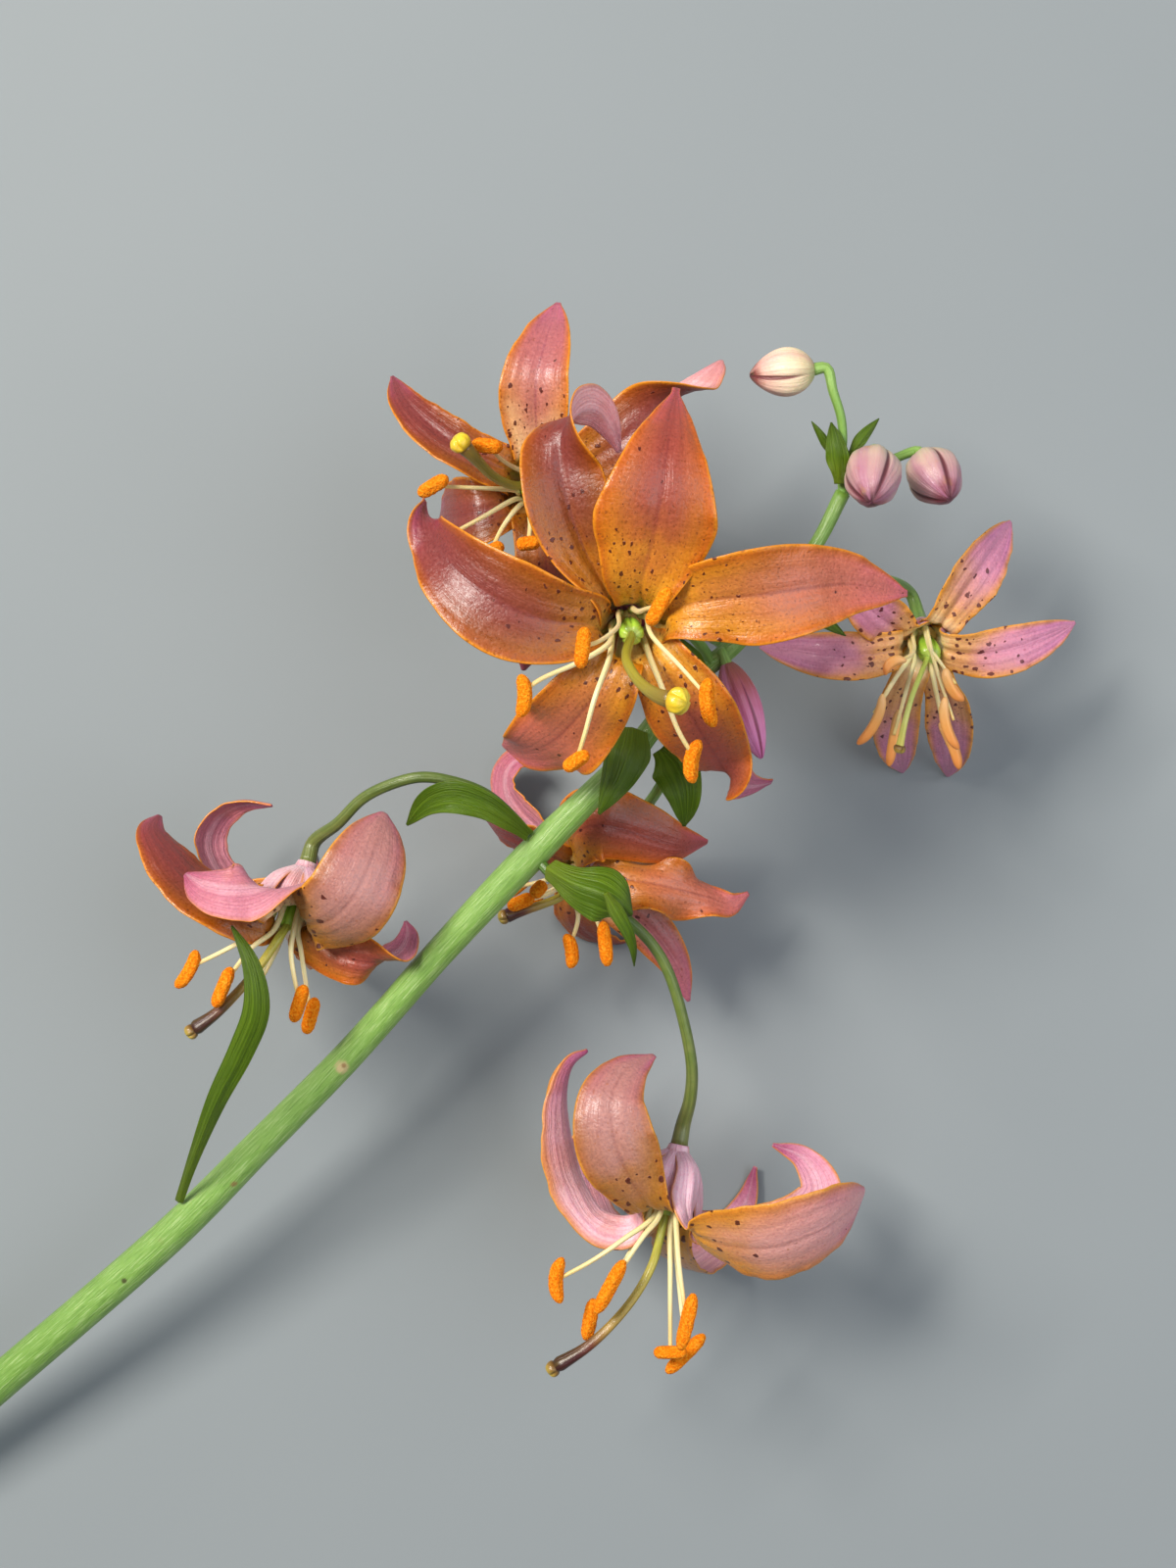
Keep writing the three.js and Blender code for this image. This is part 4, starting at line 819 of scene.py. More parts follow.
             anther=[(578, 953, 22), (583, 988, 21)], bow=-0.5),
        dict(filament=[(588, 905, 22), (605, 930, 24), (617, 962, 25)],
             anther=[(615, 940, 26), (620, 986, 25)]),
        dict(filament=[(574, 892, 21), (550, 900, 20), (528, 905, 18)],
             anther=[(538, 897, 18), (519, 912, 17)]),
        dict(filament=[(578, 900, 17), (563, 908, 13), (548, 915, 10)],
             anther=[(556, 905, 10), (540, 925, 9)]),
    ],
), dict(
    name="bloom_e", finish="mauve", seat=(940, 638, 22), mouth=(0.02, -0.5, 0.86), bell=6.5,
    styleFinish="youngStyle", stigmaFinish="dullStigma", stigmaSize=0.55, pistilSize=0.6, young=True,
    claws=dict(footWide=2.6, neckWide=6.2, footCup=0.3, widen=-1.2),
    stalk=[(785, 618, 45), (815, 612, 42), (850, 600, 36), (885, 592, 29), (912, 594, 22.5),
           (930, 607, 17.5)],
    style=[(938, 692, 36), (931, 710, 38), (924, 735, 39), (918, 763, 38)],
    petals=[
        dict(wide=9.6, cup=0.1, fold=0.1, rib=[
            (960, 636, 31), (984, 603, 33), (1006, 572, 32), (1021, 549, 29), (1031, 532, 26)]),
        dict(wide=8.6, cup=0.1, turns=[(0.2, 0), (0.5, -40)], rib=[
            (964, 662, 31), (997, 668, 32), (1035, 662, 31), (1070, 649, 28), (1097, 635, 24)]),
        dict(wide=8.6, cup=0.1, rib=[
            (956, 684, 28), (966, 712, 24), (969, 745, 17), (970, 775, 8), (967, 792, 0.2)]),
        dict(wide=8.4, cup=0.1, rib=[
            (930, 684, 28), (919, 712, 23), (914, 745, 16), (917, 773, 8), (921, 788, 0.2)]),
        dict(wide=8.6, cup=0.1, turns=[(0.2, 0), (0.5, 40)], rib=[
            (916, 662, 31), (884, 669, 32), (845, 669, 31), (806, 664, 28), (775, 660, 24)]),
        dict(wide=9.2, cup=0.1, rib=[
            (922, 644, 31), (902, 632, 34.5), (882, 614, 37), (866, 595, 38), (855, 575, 37)]),
    ],
    stamens=[
        dict(filament=[(930, 668, 33), (915, 690, 36), (892, 728, 36)],
             anther=[(901, 708, 37), (875, 760, 34)], bow=-1),
        dict(filament=[(933, 662, 34), (930, 668, 37), (915, 676, 39)],
             anther=[(925, 673, 39), (902, 688, 39)], bow=1),
        dict(filament=[(933, 672, 33), (926, 700, 34), (912, 750, 33)],
             anther=[(917, 724, 33), (907, 782, 31)]),
        dict(filament=[(951, 666, 35), (958, 690, 37.5), (973, 735, 37)],
             anther=[(964, 711, 38), (978, 765, 36)], bow=1),
        dict(filament=[(950, 682, 33), (955, 705, 33), (967, 760, 31)],
             anther=[(959, 737, 32), (979, 785, 30)], bow=-0.5),
        dict(filament=[(949, 662, 34), (958, 674, 37), (975, 698, 39)],
             anther=[(964, 682, 39), (983, 716, 38)], bow=0.6),
    ],
), dict(
    name="bloom_f", finish="salmon", seat=(693, 1168, 33), mouth=(-0.2, -0.97, 0.12), bell=10.5,
    styleFinish="tippedStyle", stigmaFinish="dullStigma", stigmaSize=0.72,
    claws=dict(footWide=3.2, neckWide=7.4, footCup=0.4, widen=0.8),
    stalk=[(545, 873, 37.5), (566, 895, 39.5), (600, 916, 41), (630, 931, 41), (650, 947, 41),
           (668, 967, 40.5), (682, 992, 40), (697, 1040, 39), (706, 1090, 37), (704, 1122, 35)],
    style=[(674, 1262, 35), (666, 1290, 37), (650, 1320, 38), (626, 1350, 39), (600, 1374, 39),
           (565, 1396, 38)],
    petals=[
        dict(wide=12.5, cup=0.85, turns=[(0.2, 0), (0.5, 32)], rib=[
            (646, 1242, 33), (616, 1238, 32), (596, 1210, 31), (582, 1162, 31), (577, 1115, 31),
            (584, 1086, 31), (600, 1072, 30)]),
        dict(finish="duskySalmon", wide=13.8, cup=-0.2, fold=0.1, turns=[(0.2, 0), (0.45, 28)], rib=[
            (664, 1232, 41), (642, 1200, 46), (626, 1160, 48), (624, 1120, 47), (640, 1092, 43),
            (668, 1077, 38)]),
        dict(wide=12, cup=-0.15, rib=[
            (664, 1250, 28), (638, 1262, 21), (612, 1250, 15), (596, 1215, 10), (588, 1175, 8),
            (592, 1145, 9)]),
        dict(wide=17, cup=-0.1, point=2.8, turns=[(0.1, 0), (0.35, -65)], rib=[
            (708, 1256, 40), (744, 1270, 45), (790, 1271, 48), (835, 1255, 47), (866, 1235, 43),
            (882, 1214, 38)]),
        dict(wide=11, cup=-0.1, rib=[
            (688, 1262, 27), (690, 1286, 19), (704, 1288, 9), (736, 1264, 1), (762, 1225, 0.2),
            (771, 1190, 1.5)]),
        dict(wide=10, cup=-0.25, turns=[(0.3, 0), (0.7, 30)], rib=[
            (708, 1248, 33), (762, 1258, 31), (812, 1248, 28), (837, 1216, 25), (820, 1183, 23),
            (788, 1168, 23)]),
    ],
    stamens=[
        dict(filament=[(668, 1240, 38), (637, 1264, 40), (605, 1286, 41), (568, 1306, 42)],
             anther=[(573, 1283, 42), (571, 1330, 42)], bow=0.8),
        dict(filament=[(672, 1242, 39), (656, 1262, 42), (623, 1312, 44)],
             anther=[(637, 1286, 44), (608, 1340, 44)]),
        dict(filament=[(660, 1243, 34), (636, 1290, 35), (602, 1346, 36)],
             anther=[(606, 1325, 36), (598, 1368, 36)]),
        dict(filament=[(690, 1245, 39), (693, 1292, 43), (701, 1348, 45)],
             anther=[(708, 1320, 45), (694, 1378, 45)]),
        dict(filament=[(685, 1248, 36), (684, 1300, 39), (684, 1380, 41)],
             anther=[(667, 1380, 41), (701, 1380, 41)]),
        dict(filament=[(688, 1248, 32), (692, 1300, 33), (700, 1381, 37)],
             anther=[(719, 1362, 37), (680, 1401, 37)]),
    ],
)]

petalSettings = dict(
    columns=16, rows=56,
    thick=0.62, edgeThin=0.5,
    footWide=2.3, neckWide=7.4, footCup=0.45,
    belly=0.54, point=1.7,
    hubLength=3.6, hubFoot=1.7, hubTop=2.8, hubGrid=(24, 8),  # the foot, where the six petals grow together
    root=(0.9, 1.4),  # where a petal starts inside the hub, along it and out
    clawRadius=3.6, bellRadius=5.3, widen=0, whorlShift=0.5,
    settled=0.45,  # from here a petal has turned the way it goes
    furrow=0.32, furrowWide=0.5, ridge=0.22, ridgeOff=1.1, ridgeWide=0.55,  # along the midrib
    pleat=0.1, pleats=6.5,
    ruffle=0.3, crimp=0.16,  # heights of the long and the short ruffles
    ruffleFrom=0.55, crimpFrom=0.7,  # 0 is the midrib, 1 the edge
)


def petalRelief(u, v, width, number):
    # a furrow along the midrib between two low ridges, long pleats, and a lightly ruffled edge
    s = petalSettings
    off, edge = np.abs(v * width), np.abs(v)
    furrow = -s["furrow"] * np.exp(-(off / s["furrowWide"]) ** 2)
    furrow += s["ridge"] * np.exp(-((off - s["ridgeOff"]) / s["ridgeWide"]) ** 2)
    pleats = s["pleat"] * np.cos(s["pleats"] * np.pi * v) * smooth(u, 0.1, 0.3)
    ruffle = s["ruffle"] * np.sin(31 * u + 2.1 * number) * np.sin(13 * u + 1.3 * number + 2 * np.sign(v))
    crimp = s["crimp"] * np.sin(97 * u + number) * np.sin(17 * u + 2.3 * number + np.sign(v))
    ruffle = ruffle * smooth(edge, s["ruffleFrom"], 1.0) + crimp * smooth(edge, s["crimpFrom"], 1.0)
    closing = smooth(u, 0.04, 0.14) * smooth(u, 1.0, 0.8)
    return closing * (furrow * smooth(u, 0.95, 0.4) + pleats + ruffle)


def bellOf(bloom):
    return seen(bloom["seat"]), Vector(bloom["mouth"]).normalized()


def letterOf(bloom):
    return bloom["name"][-1].upper()


def outwards(bloom, place):
    seat, mouth = bellOf(bloom)
    away = place - seat
    return (away - away.dot(mouth) * mouth).normalized()


def inBell(bloom, along, radial=None, out=0.0):
    seat, mouth = bellOf(bloom)
    place = seat + along * mm * mouth
    return place + out * mm * radial if radial else place


def clawsOf(bloom):
    # the six claws stand evenly round the bell, inner and outer by turns, each near where its petal goes
    mouth = bellOf(bloom)[1]
    radials = [outwards(bloom, seen(petal["rib"][0])) for petal in bloom["petals"]]
    first = radials[0]
    second = mouth.cross(first)
    angles = [math.atan2(radial.dot(second), radial.dot(first)) % (2 * math.pi) for radial in radials]
    ranks = [sum(other < angle for other in angles) for angle in angles]
    step = 2 * math.pi / len(angles)
    start = sum(angle - step * rank for angle, rank in zip(angles, ranks)) / len(angles)
    claws = []
    for angle, rank in zip(angles, ranks):
        at = start + step * rank
        out = petalSettings["whorlShift"] * (1 if rank % 2 else -1)
        claws.append((first * math.cos(at) + second * math.sin(at), out, math.degrees(angle - at)))
    return claws


def hubRadius(u, angle):
    s = petalSettings
    return s["hubFoot"] + (s["hubTop"] - s["hubFoot"]) * u


def addPetals(bloom, number):
    s = {**petalSettings, **bloom.get("claws", {})}
    mouth = bellOf(bloom)[1]
    parts = [addLimb("hub", [inBell(bloom, 0), inBell(bloom, s["hubLength"])], hubRadius, s["hubGrid"],
                     petalFinishes[bloom["finish"]][1])]
    rootAlong, rootOut = s["root"]
    for i, (petal, (radial, out, shift)) in enumerate(zip(bloom["petals"], clawsOf(bloom))):
        out += s["widen"]
        way = [inBell(bloom, rootAlong, radial, rootOut),
               inBell(bloom, s["hubLength"], radial, s["clawRadius"] + out),
               inBell(bloom, bloom["bell"], radial, s["bellRadius"] + out)]
        way += [seen(place) for place in petal["rib"]]
        neck = bloom["bell"] * mm / walkAlong(way, np.array([0.0, 1.0]))["length"]
        look = {**s, **petal, "relief": petalRelief, "neck": neck}
        look.update(turns=still + petal.get("turns", []), shift=[(neck, 0), (s["settled"], shift)])
        finish = petalFinishes[petal.get("finish", bloom["finish"])]
        parts.append(addBlade("petal", way, mouth.cross(radial), look, finish, 6 * number + i))
    piece = joinPieces("petals" + letterOf(bloom), parts)
    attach(piece, "root")
    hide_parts(bloom["name"] + "_petals")


# Stamens: a cream filament with a pollen-covered anther across its end

stamenSettings = dict(
    ringLength=0.8, ringRadius=2.0, ringGrid=(24, 3),  # the ring that carries the six stamens
    circle=1.9, spread=1.0, rise=3.0,  # the filaments' feet stand on a circle and lean outwards
    footRadius=0.64, topRadius=0.34, flatten=0.25, filamentGrid=(12, 48),
    gap=0.4,
    antherRadius=1.28, antherLength=8.4, youngRadius=0.82, sides=12,
    body=0.5, tips=[(0.12, 0.84), (0.09, 0.62), (0.04, 0.4)],  # shares of its length, then of its width
    groove=0.78, roll=1.7,
    crumb=0.12, crumbSize=0.26,  # height and size of the lumps of pollen
    keptFaces=0.4,
)


def makeAnther(name, material, ripe):
    # modelled once standing up on the origin: a short cylinder, its ends drawn in, with a groove down it
    s = stamenSettings
    radius = s["antherRadius"] * (1 if ripe else s["youngRadius"]) * mm
    length = s["antherLength"] * mm
    middle = length * s["body"]
    bpy.ops.object.select_all(action="DESELECT")
    bpy.ops.mesh.primitive_cylinder_add(vertices=s["sides"], radius=radius, depth=middle)
    piece = bpy.context.object
    piece.name = name
    bpy.ops.object.mode_set(mode="EDIT")
    bpy.ops.mesh.select_mode(type="FACE")
    for end in (1, -1):
        inner = radius * math.cos(math.pi / s["sides"])  # from the middle to the flat of a side
        for out, shrink in s["tips"]:
            bpy.ops.mesh.select_all(action="DESELECT")
            bpy.ops.object.mode_set(mode="OBJECT")
            far = max(end * face.center.z for face in piece.data.polygons)
            for face in piece.data.polygons:
                face.select = end * face.normal.z > 0.99 and end * face.center.z > far - 1e-6
            bpy.ops.object.mode_set(mode="EDIT")
            bpy.ops.mesh.inset(thickness=inner * (1 - shrink), depth=length * out, use_individual=True)
            inner *= shrink
    bpy.ops.mesh.select_mode(type="EDGE")
    bpy.ops.mesh.select_all(action="DESELECT")
    bpy.ops.object.mode_set(mode="OBJECT")
    for edge in piece.data.edges:
        a, b = (piece.data.vertices[i].co for i in edge.vertices)
        along = abs((a - b).normalized().z) > 0.99 and abs(a.z) < middle * 0.55
        edge.select = along and (abs(a.x) > 0.95 * radius or abs(a.y) > 0.95 * radius)
    bpy.ops.object.mode_set(mode="EDIT")
    bpy.ops.transform.resize(value=(s["groove"], s["groove"], 1), center_override=(0, 0, 0))
    bpy.ops.object.mode_set(mode="OBJECT")
    points = pointsOf(piece)
    writeMap(piece, "shape", np.column_stack([0.5 + 0 * points[:, 2], 0.5 + points[:, 2] / length]))
    writeMap(piece, "spread", np.column_stack([points[:, 0] / mm, points[:, 2] / mm]))
    levels = 3 if ripe else 2
    applyModifier(piece, "SUBSURF", levels=levels, render_levels=levels)
    if ripe:
        lumps = bpy.data.textures.new("pollen lumps", "CLOUDS")
        lumps.noise_scale = s["crumbSize"] * mm
        lumps.noise_depth = 3
        applyModifier(piece, "DISPLACE", texture=lumps, strength=2 * s["crumb"] * mm, mid_level=0.4,
                      texture_coords="LOCAL")
        applyModifier(piece, "DECIMATE", ratio=s["keptFaces"])
    piece.data.materials.append(material)
    bpy.ops.object.shade_smooth()
    return piece


def placeAnther(model, ends, bow, roll):
    # a copy with its own mesh, laid between two ends, rolled about its length and bowed sideways
    a, b = (seen(end) for end in ends)
    long = b - a
    piece = model.copy()
    piece.data = model.data.copy()
    bpy.context.collection.objects.link(piece)
    points = pointsOf(piece)
    turn = long.to_track_quat("Z", "Y") @ Quaternion((0, 0, 1), roll)
    points[:, 2] *= long.length / (stamenSettings["antherLength"] * mm)
    share = points[:, 2] / (long.length / 2)
    points = points @ np.array(turn.to_matrix()).T + np.array((a + b) / 2)
    across = long.cross(Vector((0, 0, 1))).normalized()
    points += np.array(across) * (bow * mm * np.clip(1 - share**2, -0.4, 1))[:, None]
    placePoints(piece, points)
    return piece


def ringRadius(u, angle):
    return stamenSettings["ringRadius"] + 0 * u


def filamentRadius(u, angle):
    s = stamenSettings
    thins = s["footRadius"] + (s["topRadius"] - s["footRadius"]) * u**0.7
    return thins * (1 - s["flatten"] * np.abs(np.sin(angle)))


def addStamens(bloom, number, anthers):
    s = stamenSettings
    foot = petalSettings["hubLength"] + s["gap"]
    parts = [addLimb("ring", [inBell(bloom, foot), inBell(bloom, foot + s["ringLength"])], ringRadius,
                     s["ringGrid"], finishes["filament"])]
    model = anthers["young" if bloom.get("young") else "ripe"]
    for i, stamen in enumerate(bloom["stamens"], 6 * number):
        way = [seen(place) for place in stamen["filament"]]
        radial = outwards(bloom, way[0])
        feet = [inBell(bloom, foot + s["ringLength"] / 2, radial, s["circle"]),
                inBell(bloom, foot + s["rise"], radial, s["circle"] + s["spread"])]
        parts.append(addLimb("filament", feet + way, filamentRadius, s["filamentGrid"],
                             finishes["filament"], i))
        parts.append(placeAnther(model, stamen["anther"], stamen.get("bow", 0), s["roll"] * i))
    piece = joinPieces("stamens" + letterOf(bloom), parts)
    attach(piece, "root")
    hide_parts(bloom["name"] + "_stamens")


# Pistils: a ribbed ovary, a long style that thickens, and a three-lobed stigma

pistilSettings = dict(
    ovaryFoot=1.1, ovaryTop=2.0, ovaryLength=7, ovaryGrid=(60, 30),
    groove=0.2, fineGroove=0.08,  # of the ovary, as shares of its radius
    grooveWide=0.18, fineGrooveWide=0.2, lobeWide=0.3,  # as the sine of the way round
    styleFoot=0.75, styleTop=1.2, swell=0.55, styleRoot=1.5, styleGrid=(24, 90),
    stigmaRadius=1.95, stigmaLength=3, stigmaSpan=(-0.4, 0.6), lobes=0.34, bumps=0.03,
    stigmaGrid=(48, 24),
)


def ovaryRadius(u, angle):
    s = pistilSettings
    profile = s["ovaryFoot"] + (s["ovaryTop"] - s["ovaryFoot"]) * np.sin(1.9 * u)
    grooves = s["groove"] * np.exp(-(np.sin(1.5 * angle) / s["grooveWide"]) ** 2)
    fine = s["fineGroove"] * np.exp(-(np.cos(1.5 * angle) / s["fineGrooveWide"]) ** 2)
    return profile * np.clip(1 - u**14, 0.05, 1) ** 0.5 * (1 - grooves - fine)


def styleRadius(slim, swell):
    def radius(u, angle):
        s = pistilSettings
        thickens = s["styleFoot"] + (s["styleTop"] - s["styleFoot"]) * u**6 * (1 + swell)
        return slim * (thickens - swell * 0.9 * smooth(u, 0.955, 1.0)) * (1 + 0.06 * np.cos(3 * angle))
    return radius


def stigmaRadius(size, number):
    def radius(u, angle):
        s = pistilSettings
        profile = np.clip(1 - np.abs(2 * u - 1) ** 2.4, 0.02, 1) ** 0.5
        lobes = s["lobes"] * np.exp(-(np.sin(1.5 * angle) / s["lobeWide"]) ** 2) * smooth(u, 0.1, 0.6)
        bumps = s["bumps"] * np.sin(9 * angle + 5 * u + number) * smooth(u, 0.2, 0.7)
        return size * s["stigmaRadius"] * profile * (1 - lobes + bumps)
    return radius


def addPistil(bloom, number):
    s = pistilSettings
    foot = petalSettings["hubLength"] + stamenSettings["ringLength"] + 2 * stamenSettings["gap"]
    mouth = bellOf(bloom)[1]
    size = bloom["stigmaSize"]
    low, high = inBell(bloom, foot), inBell(bloom, foot + s["ovaryLength"])
    ovary = addLimb("ovary", [low, high], ovaryRadius, s["ovaryGrid"], finishes["ovary"])
    way = [seen(place) for place in bloom["style"]]
    swell = 0.0 if bloom.get("young") else s["swell"]
    style = addLimb("style", [high - s["styleRoot"] * mm * mouth] + way,
                    styleRadius(bloom.get("pistilSize", 1), swell), s["styleGrid"],
                    finishes[bloom["styleFinish"]], number)
    heading = (way[-1] - way[-2]).normalized()
    ends = [way[-1] + share * size * s["stigmaLength"] * mm * heading for share in s["stigmaSpan"]]
    knob = addLimb("stigma", ends, stigmaRadius(size, number), s["stigmaGrid"],
                   finishes[bloom["stigmaFinish"]])
    piece = joinPieces("pistil" + letterOf(bloom), [ovary, style, knob])
    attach(piece, "root")
    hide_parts(bloom["name"] + "_pistil")


finishes = dict(
    filament=plainGrown("filament cream", dict(
        roughness=0.38, subsurface=0.25, streaks=6.0, streak="c9b060", streakShare=0.2,
        run=[(0.0, "c8d080"), (0.2, "ecdfa0"), (0.7, "f2e2ac"), (1.0, "ecc878")])),
    ovary=plainGrown("ovary green", dict(
        roughness=0.3, coat=0.2, streaks=9.0, streak="6fa028", streakShare=0.3,
        run=[(0.0, "98c048"), (0.6, "9ccc3c"), (0.9, "a8d048"), (1.0, "b8c860")])),
    style=plainGrown("style olive", dict(
        roughness=0.34, coat=0.1, streaks=8.0, streak="6a6418", streakShare=0.25, uneven=0.05,
        run=[(0.0, "a8b43c"), (0.4, "a09c30"), (0.78, "94882c"), (0.93, "84702c"), (1.0, "6c4c20")])),
    tippedStyle=plainGrown("style olive to purple", dict(
        roughness=0.34, coat=0.1, streaks=8.0, streak="7a6a20", streakShare=0.25, uneven=0.05,
        run=[(0.0, "b4c24c"), (0.35, "b8ac44"), (0.66, "9c7c34"), (0.78, "643020"), (0.87, "3c1018"),
             (1.0, "300c10")])),
    youngStyle=plainGrown("young style green", dict(
        roughness=0.34, coat=0.1, streaks=8.0, streak="98a83c", streakShare=0.25, uneven=0.05,
        run=[(0.0, "b4cc58"), (0.6, "c4d070"), (1.0, "ccc060")])),
    stigma=plainGrown("stigma yellow", dict(
        roughness=0.42, coat=0.2, streaks=7.0, streak="a0a030", streakShare=0.25, grain=900.0,
        grainHeight=0.2, run=[(0.0, "a87c20"), (0.3, "d8b018"), (1.0, "e8c82c")])),
    dullStigma=plainGrown("stigma dull yellow", dict(
        roughness=0.42, coat=0.2, streaks=7.0, streak="7c6428", streakShare=0.3, grain=900.0,
        grainHeight=0.2, run=[(0.0, "401810"), (0.5, "8c6c2c"), (1.0, "c0ac48")])),
    youngAnther=plainGrown("young anther peach", dict(
        roughness=0.45, streaks=5.0, streak="d08838", streakShare=0.35,
        run=[(0.0, "eebc7c"), (0.5, "f0a858"), (1.0, "e88c44")])),
    pollen=pollenCoat("pollen", "f88a08", "e87000"),
    bud=budSkin("bud cream and mauve", dict(
        flush="ac6c88", seam="541420", gold="c89430",
        run=[(0.0, "98ac6c"), (0.14, "c0b890"), (0.45, "c4a498"), (0.8, "b08088"), (0.93, "844450"),
             (1.0, "48141c")])),
    creamBud=budSkin("bud cream", dict(
        flush="d09c94", seam="6c2028", gold="dcb04c",
        run=[(0.0, "a8b070"), (0.14, "e0d0a0"), (0.45, "f0d8b8"), (0.8, "e4b8a8"), (0.93, "8c4840"),
             (1.0, "381410")])),
    openingBud=budSkin("opening bud rose", dict(
        flush="e498c4", seam="84304c", gold="c08050",
        run=[(0.0, "9c5c4c"), (0.2, "ac5c58"), (0.5, "cc6c90"), (0.8, "e088b8"), (1.0, "d068a4")])),
    stem=stemSkin("stem green", dict(
        run=[(0.0, "5c8c24"), (0.25, "749c44"), (0.45, "80a850"), (0.7, "7ca448"), (1.0, "709838")],
        pale="b4cc8c", deep="4c7428",
        marks=[((349, 1089, 31), 2.0, "c8b084"), ((351, 1087, 31), 0.8, "8c6c40"),
               ((239, 1209, 26), 1.1, "8a7040"), ((165, 1265, 23), 1.2, "806c3c"),
               ((127, 1307, 22), 0.9, "3c3018")])),
    stalk=plainGrown("stalk green", dict(
        roughness=0.38, coat=0.12, streaks=14.0, streak="4c7028", streakShare=0.4, patch=200.0,
        uneven=0.4, run=[(0.0, "78a448"), (0.5, "7ca64a"), (1.0, "8cb058")])),
    duskyStalk=plainGrown("stalk dusky", dict(
        roughness=0.38, coat=0.12, streaks=14.0, streak="344818", streakShare=0.5, patch=400.0,
        uneven=0.9, run=[(0.0, "4c7024"), (0.4, "586c28"), (0.7, "687834"), (1.0, "788044")])),
    leaf=plainGrown("leaf green", dict(
        roughness=0.32, specular=0.3, streaks=20.0, streak="7c9c18", streakShare=0.25, patch=120.0,
        uneven=0.6, relief=0.3, run=[(0.0, "6c8008"), (0.4, "506c00"), (0.85, "445c00"), (1.0, "605808")])),
    leafBack=plainGrown("leaf back green", dict(
        roughness=0.38, specular=0.3, streaks=20.0, streak="8cac2c", streakShare=0.2, patch=120.0,
        uneven=0.5, relief=0.3, run=[(0.0, "607414"), (0.4, "486406"), (1.0, "3c5404")])),
)
print("finishes ready")

anthers = dict(ripe=makeAnther("antherModel", finishes["pollen"], True),
               young=makeAnther("youngAntherModel", finishes["youngAnther"], False))
for number, bloom in enumerate(blooms):
    addPetals(bloom, number)
    addStamens(bloom, number, anthers)
    addPistil(bloom, number)
    print("made", bloom["name"])
for model in anthers.values():
    bpy.data.objects.remove(model)


# Buds: six closed petals, the three outer ones lapping over the inner, with a seam between each two

buds = [
    dict(name="bud_1", finish="creamBud", foot=(831, 377, 48), tip=(765, 383, 48), wide=8.6,
         stalk=[(860, 505, 45), (858, 475, 45.3), (860, 447, 46), (858, 425, 47), (850, 399, 48)]),
    dict(name="bud_2", finish="bud", foot=(892, 465, 47), tip=(889, 512, 57), wide=9.8,
         stalk=[(858, 506, 45), (874, 482, 42.5), (887, 464, 43.5)]),
    dict(name="bud_3", finish="bud", foot=(941, 467, 36), tip=(969, 509, 45), wide=9.7,
         stalk=[(860, 505, 45), (888, 480, 38), (915, 467, 35)]),
    dict(name="bud_opening", finish="openingBud", foot=(741, 676, 46), tip=(777, 774, 46), wide=6.8,
         stalk=[(728, 672, 44), (735, 668, 45)]),
]
budSettings = dict(
    grid=(96, 60),
    lobe=0.075, seam=0.07, rib=0.025,  # shares of the radius
    seamWide=0.045, ribWide=0.06,  # shares of a third of the way round
)


def budRadius(wide):
    def radius(u, angle):
        s = budSettings
        profile = np.maximum(0.05, np.sin(np.pi * (0.04 + 0.95 * u**0.85)) ** 0.7)
        third = (angle / (2 * np.pi) + 0.52) * 3
        away = np.abs(third - np.floor(third) - 0.5)  # 0 on a seam, 0.5 between two
        lobe = 1 - s["lobe"] * np.abs(np.cos(3 * angle))
        seam = s["seam"] * np.exp(-(away / s["seamWide"]) ** 2) * smooth(u, 0.06, 0.3)
        rib = s["rib"] * np.exp(-((away - 0.5) / s["ribWide"]) ** 2)
        return wide / 2 * profile * (lobe - seam + rib)
    return radius


for number, bud in enumerate(buds):
    piece = addLimb("bud", [seen(bud["foot"]), seen(bud["tip"])], budRadius(bud["wide"]),
                    budSettings["grid"], finishes[bud["finish"]], number)
    piece = joinPieces("bud" + bud["name"][4:].title(), [piece])
    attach(piece, "root")
    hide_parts(bud["name"])
print("made buds")


# Stem and stalks

stemSettings = dict(
    grid=(36, 260),
    way=[(-243, 1615, 3.5), (-120, 1512, 9), (0, 1410, 14), (180, 1254, 21), (262, 1172, 24.5),
         (349, 1084, 28.5), (397, 1031, 31), (446, 975, 33.5), (540, 875, 37.5), (600, 815, 40),
         (640, 775, 41.5), (700, 700, 43.5), (752, 655, 44.5), (830, 560, 45), (860, 503, 45)],
    radii=[3.6, 3.5, 3.4, 3.2, 2.9, 2.7, 2.6, 2.6, 2.8, 2.3, 2.1, 1.7, 1.6, 1.2, 1.3],
    stalk=dict(radius=0.95, end=1.5, late=8, straight=3.5, grid=(18, 70)),
    budStalk=dict(radius=0.75, end=1.1, late=6, straight=2, grid=(16, 40)),
    dusky=("bloom_c", "bloom_f"),
)


def stemRadius(points):
    s = stemSettings
    shares = np.linspace(0, 1, 400)
    sizes = np.interp(walkAlong(points, shares)["knot"], np.arange(len(s["radii"])), s["radii"])

    def radius(u, angle):
        return np.interp(u, shares, sizes) * (0.986 + 0.012 * np.cos(9 * angle + 4 * u))
    return radius


def addStalk(name, places, low, high, mouth, s, finish, number):
    # goes straight for its last stretch, and thickens late
    way = [seen(place) for place in places] + [low - s["straight"] * mm * mouth, high]
    return addLimb(name, way, lambda u, angle: s["radius"] + (s["end"] - s["radius"]) * u ** s["late"],
                   s["grid"], finishes[finish], number)


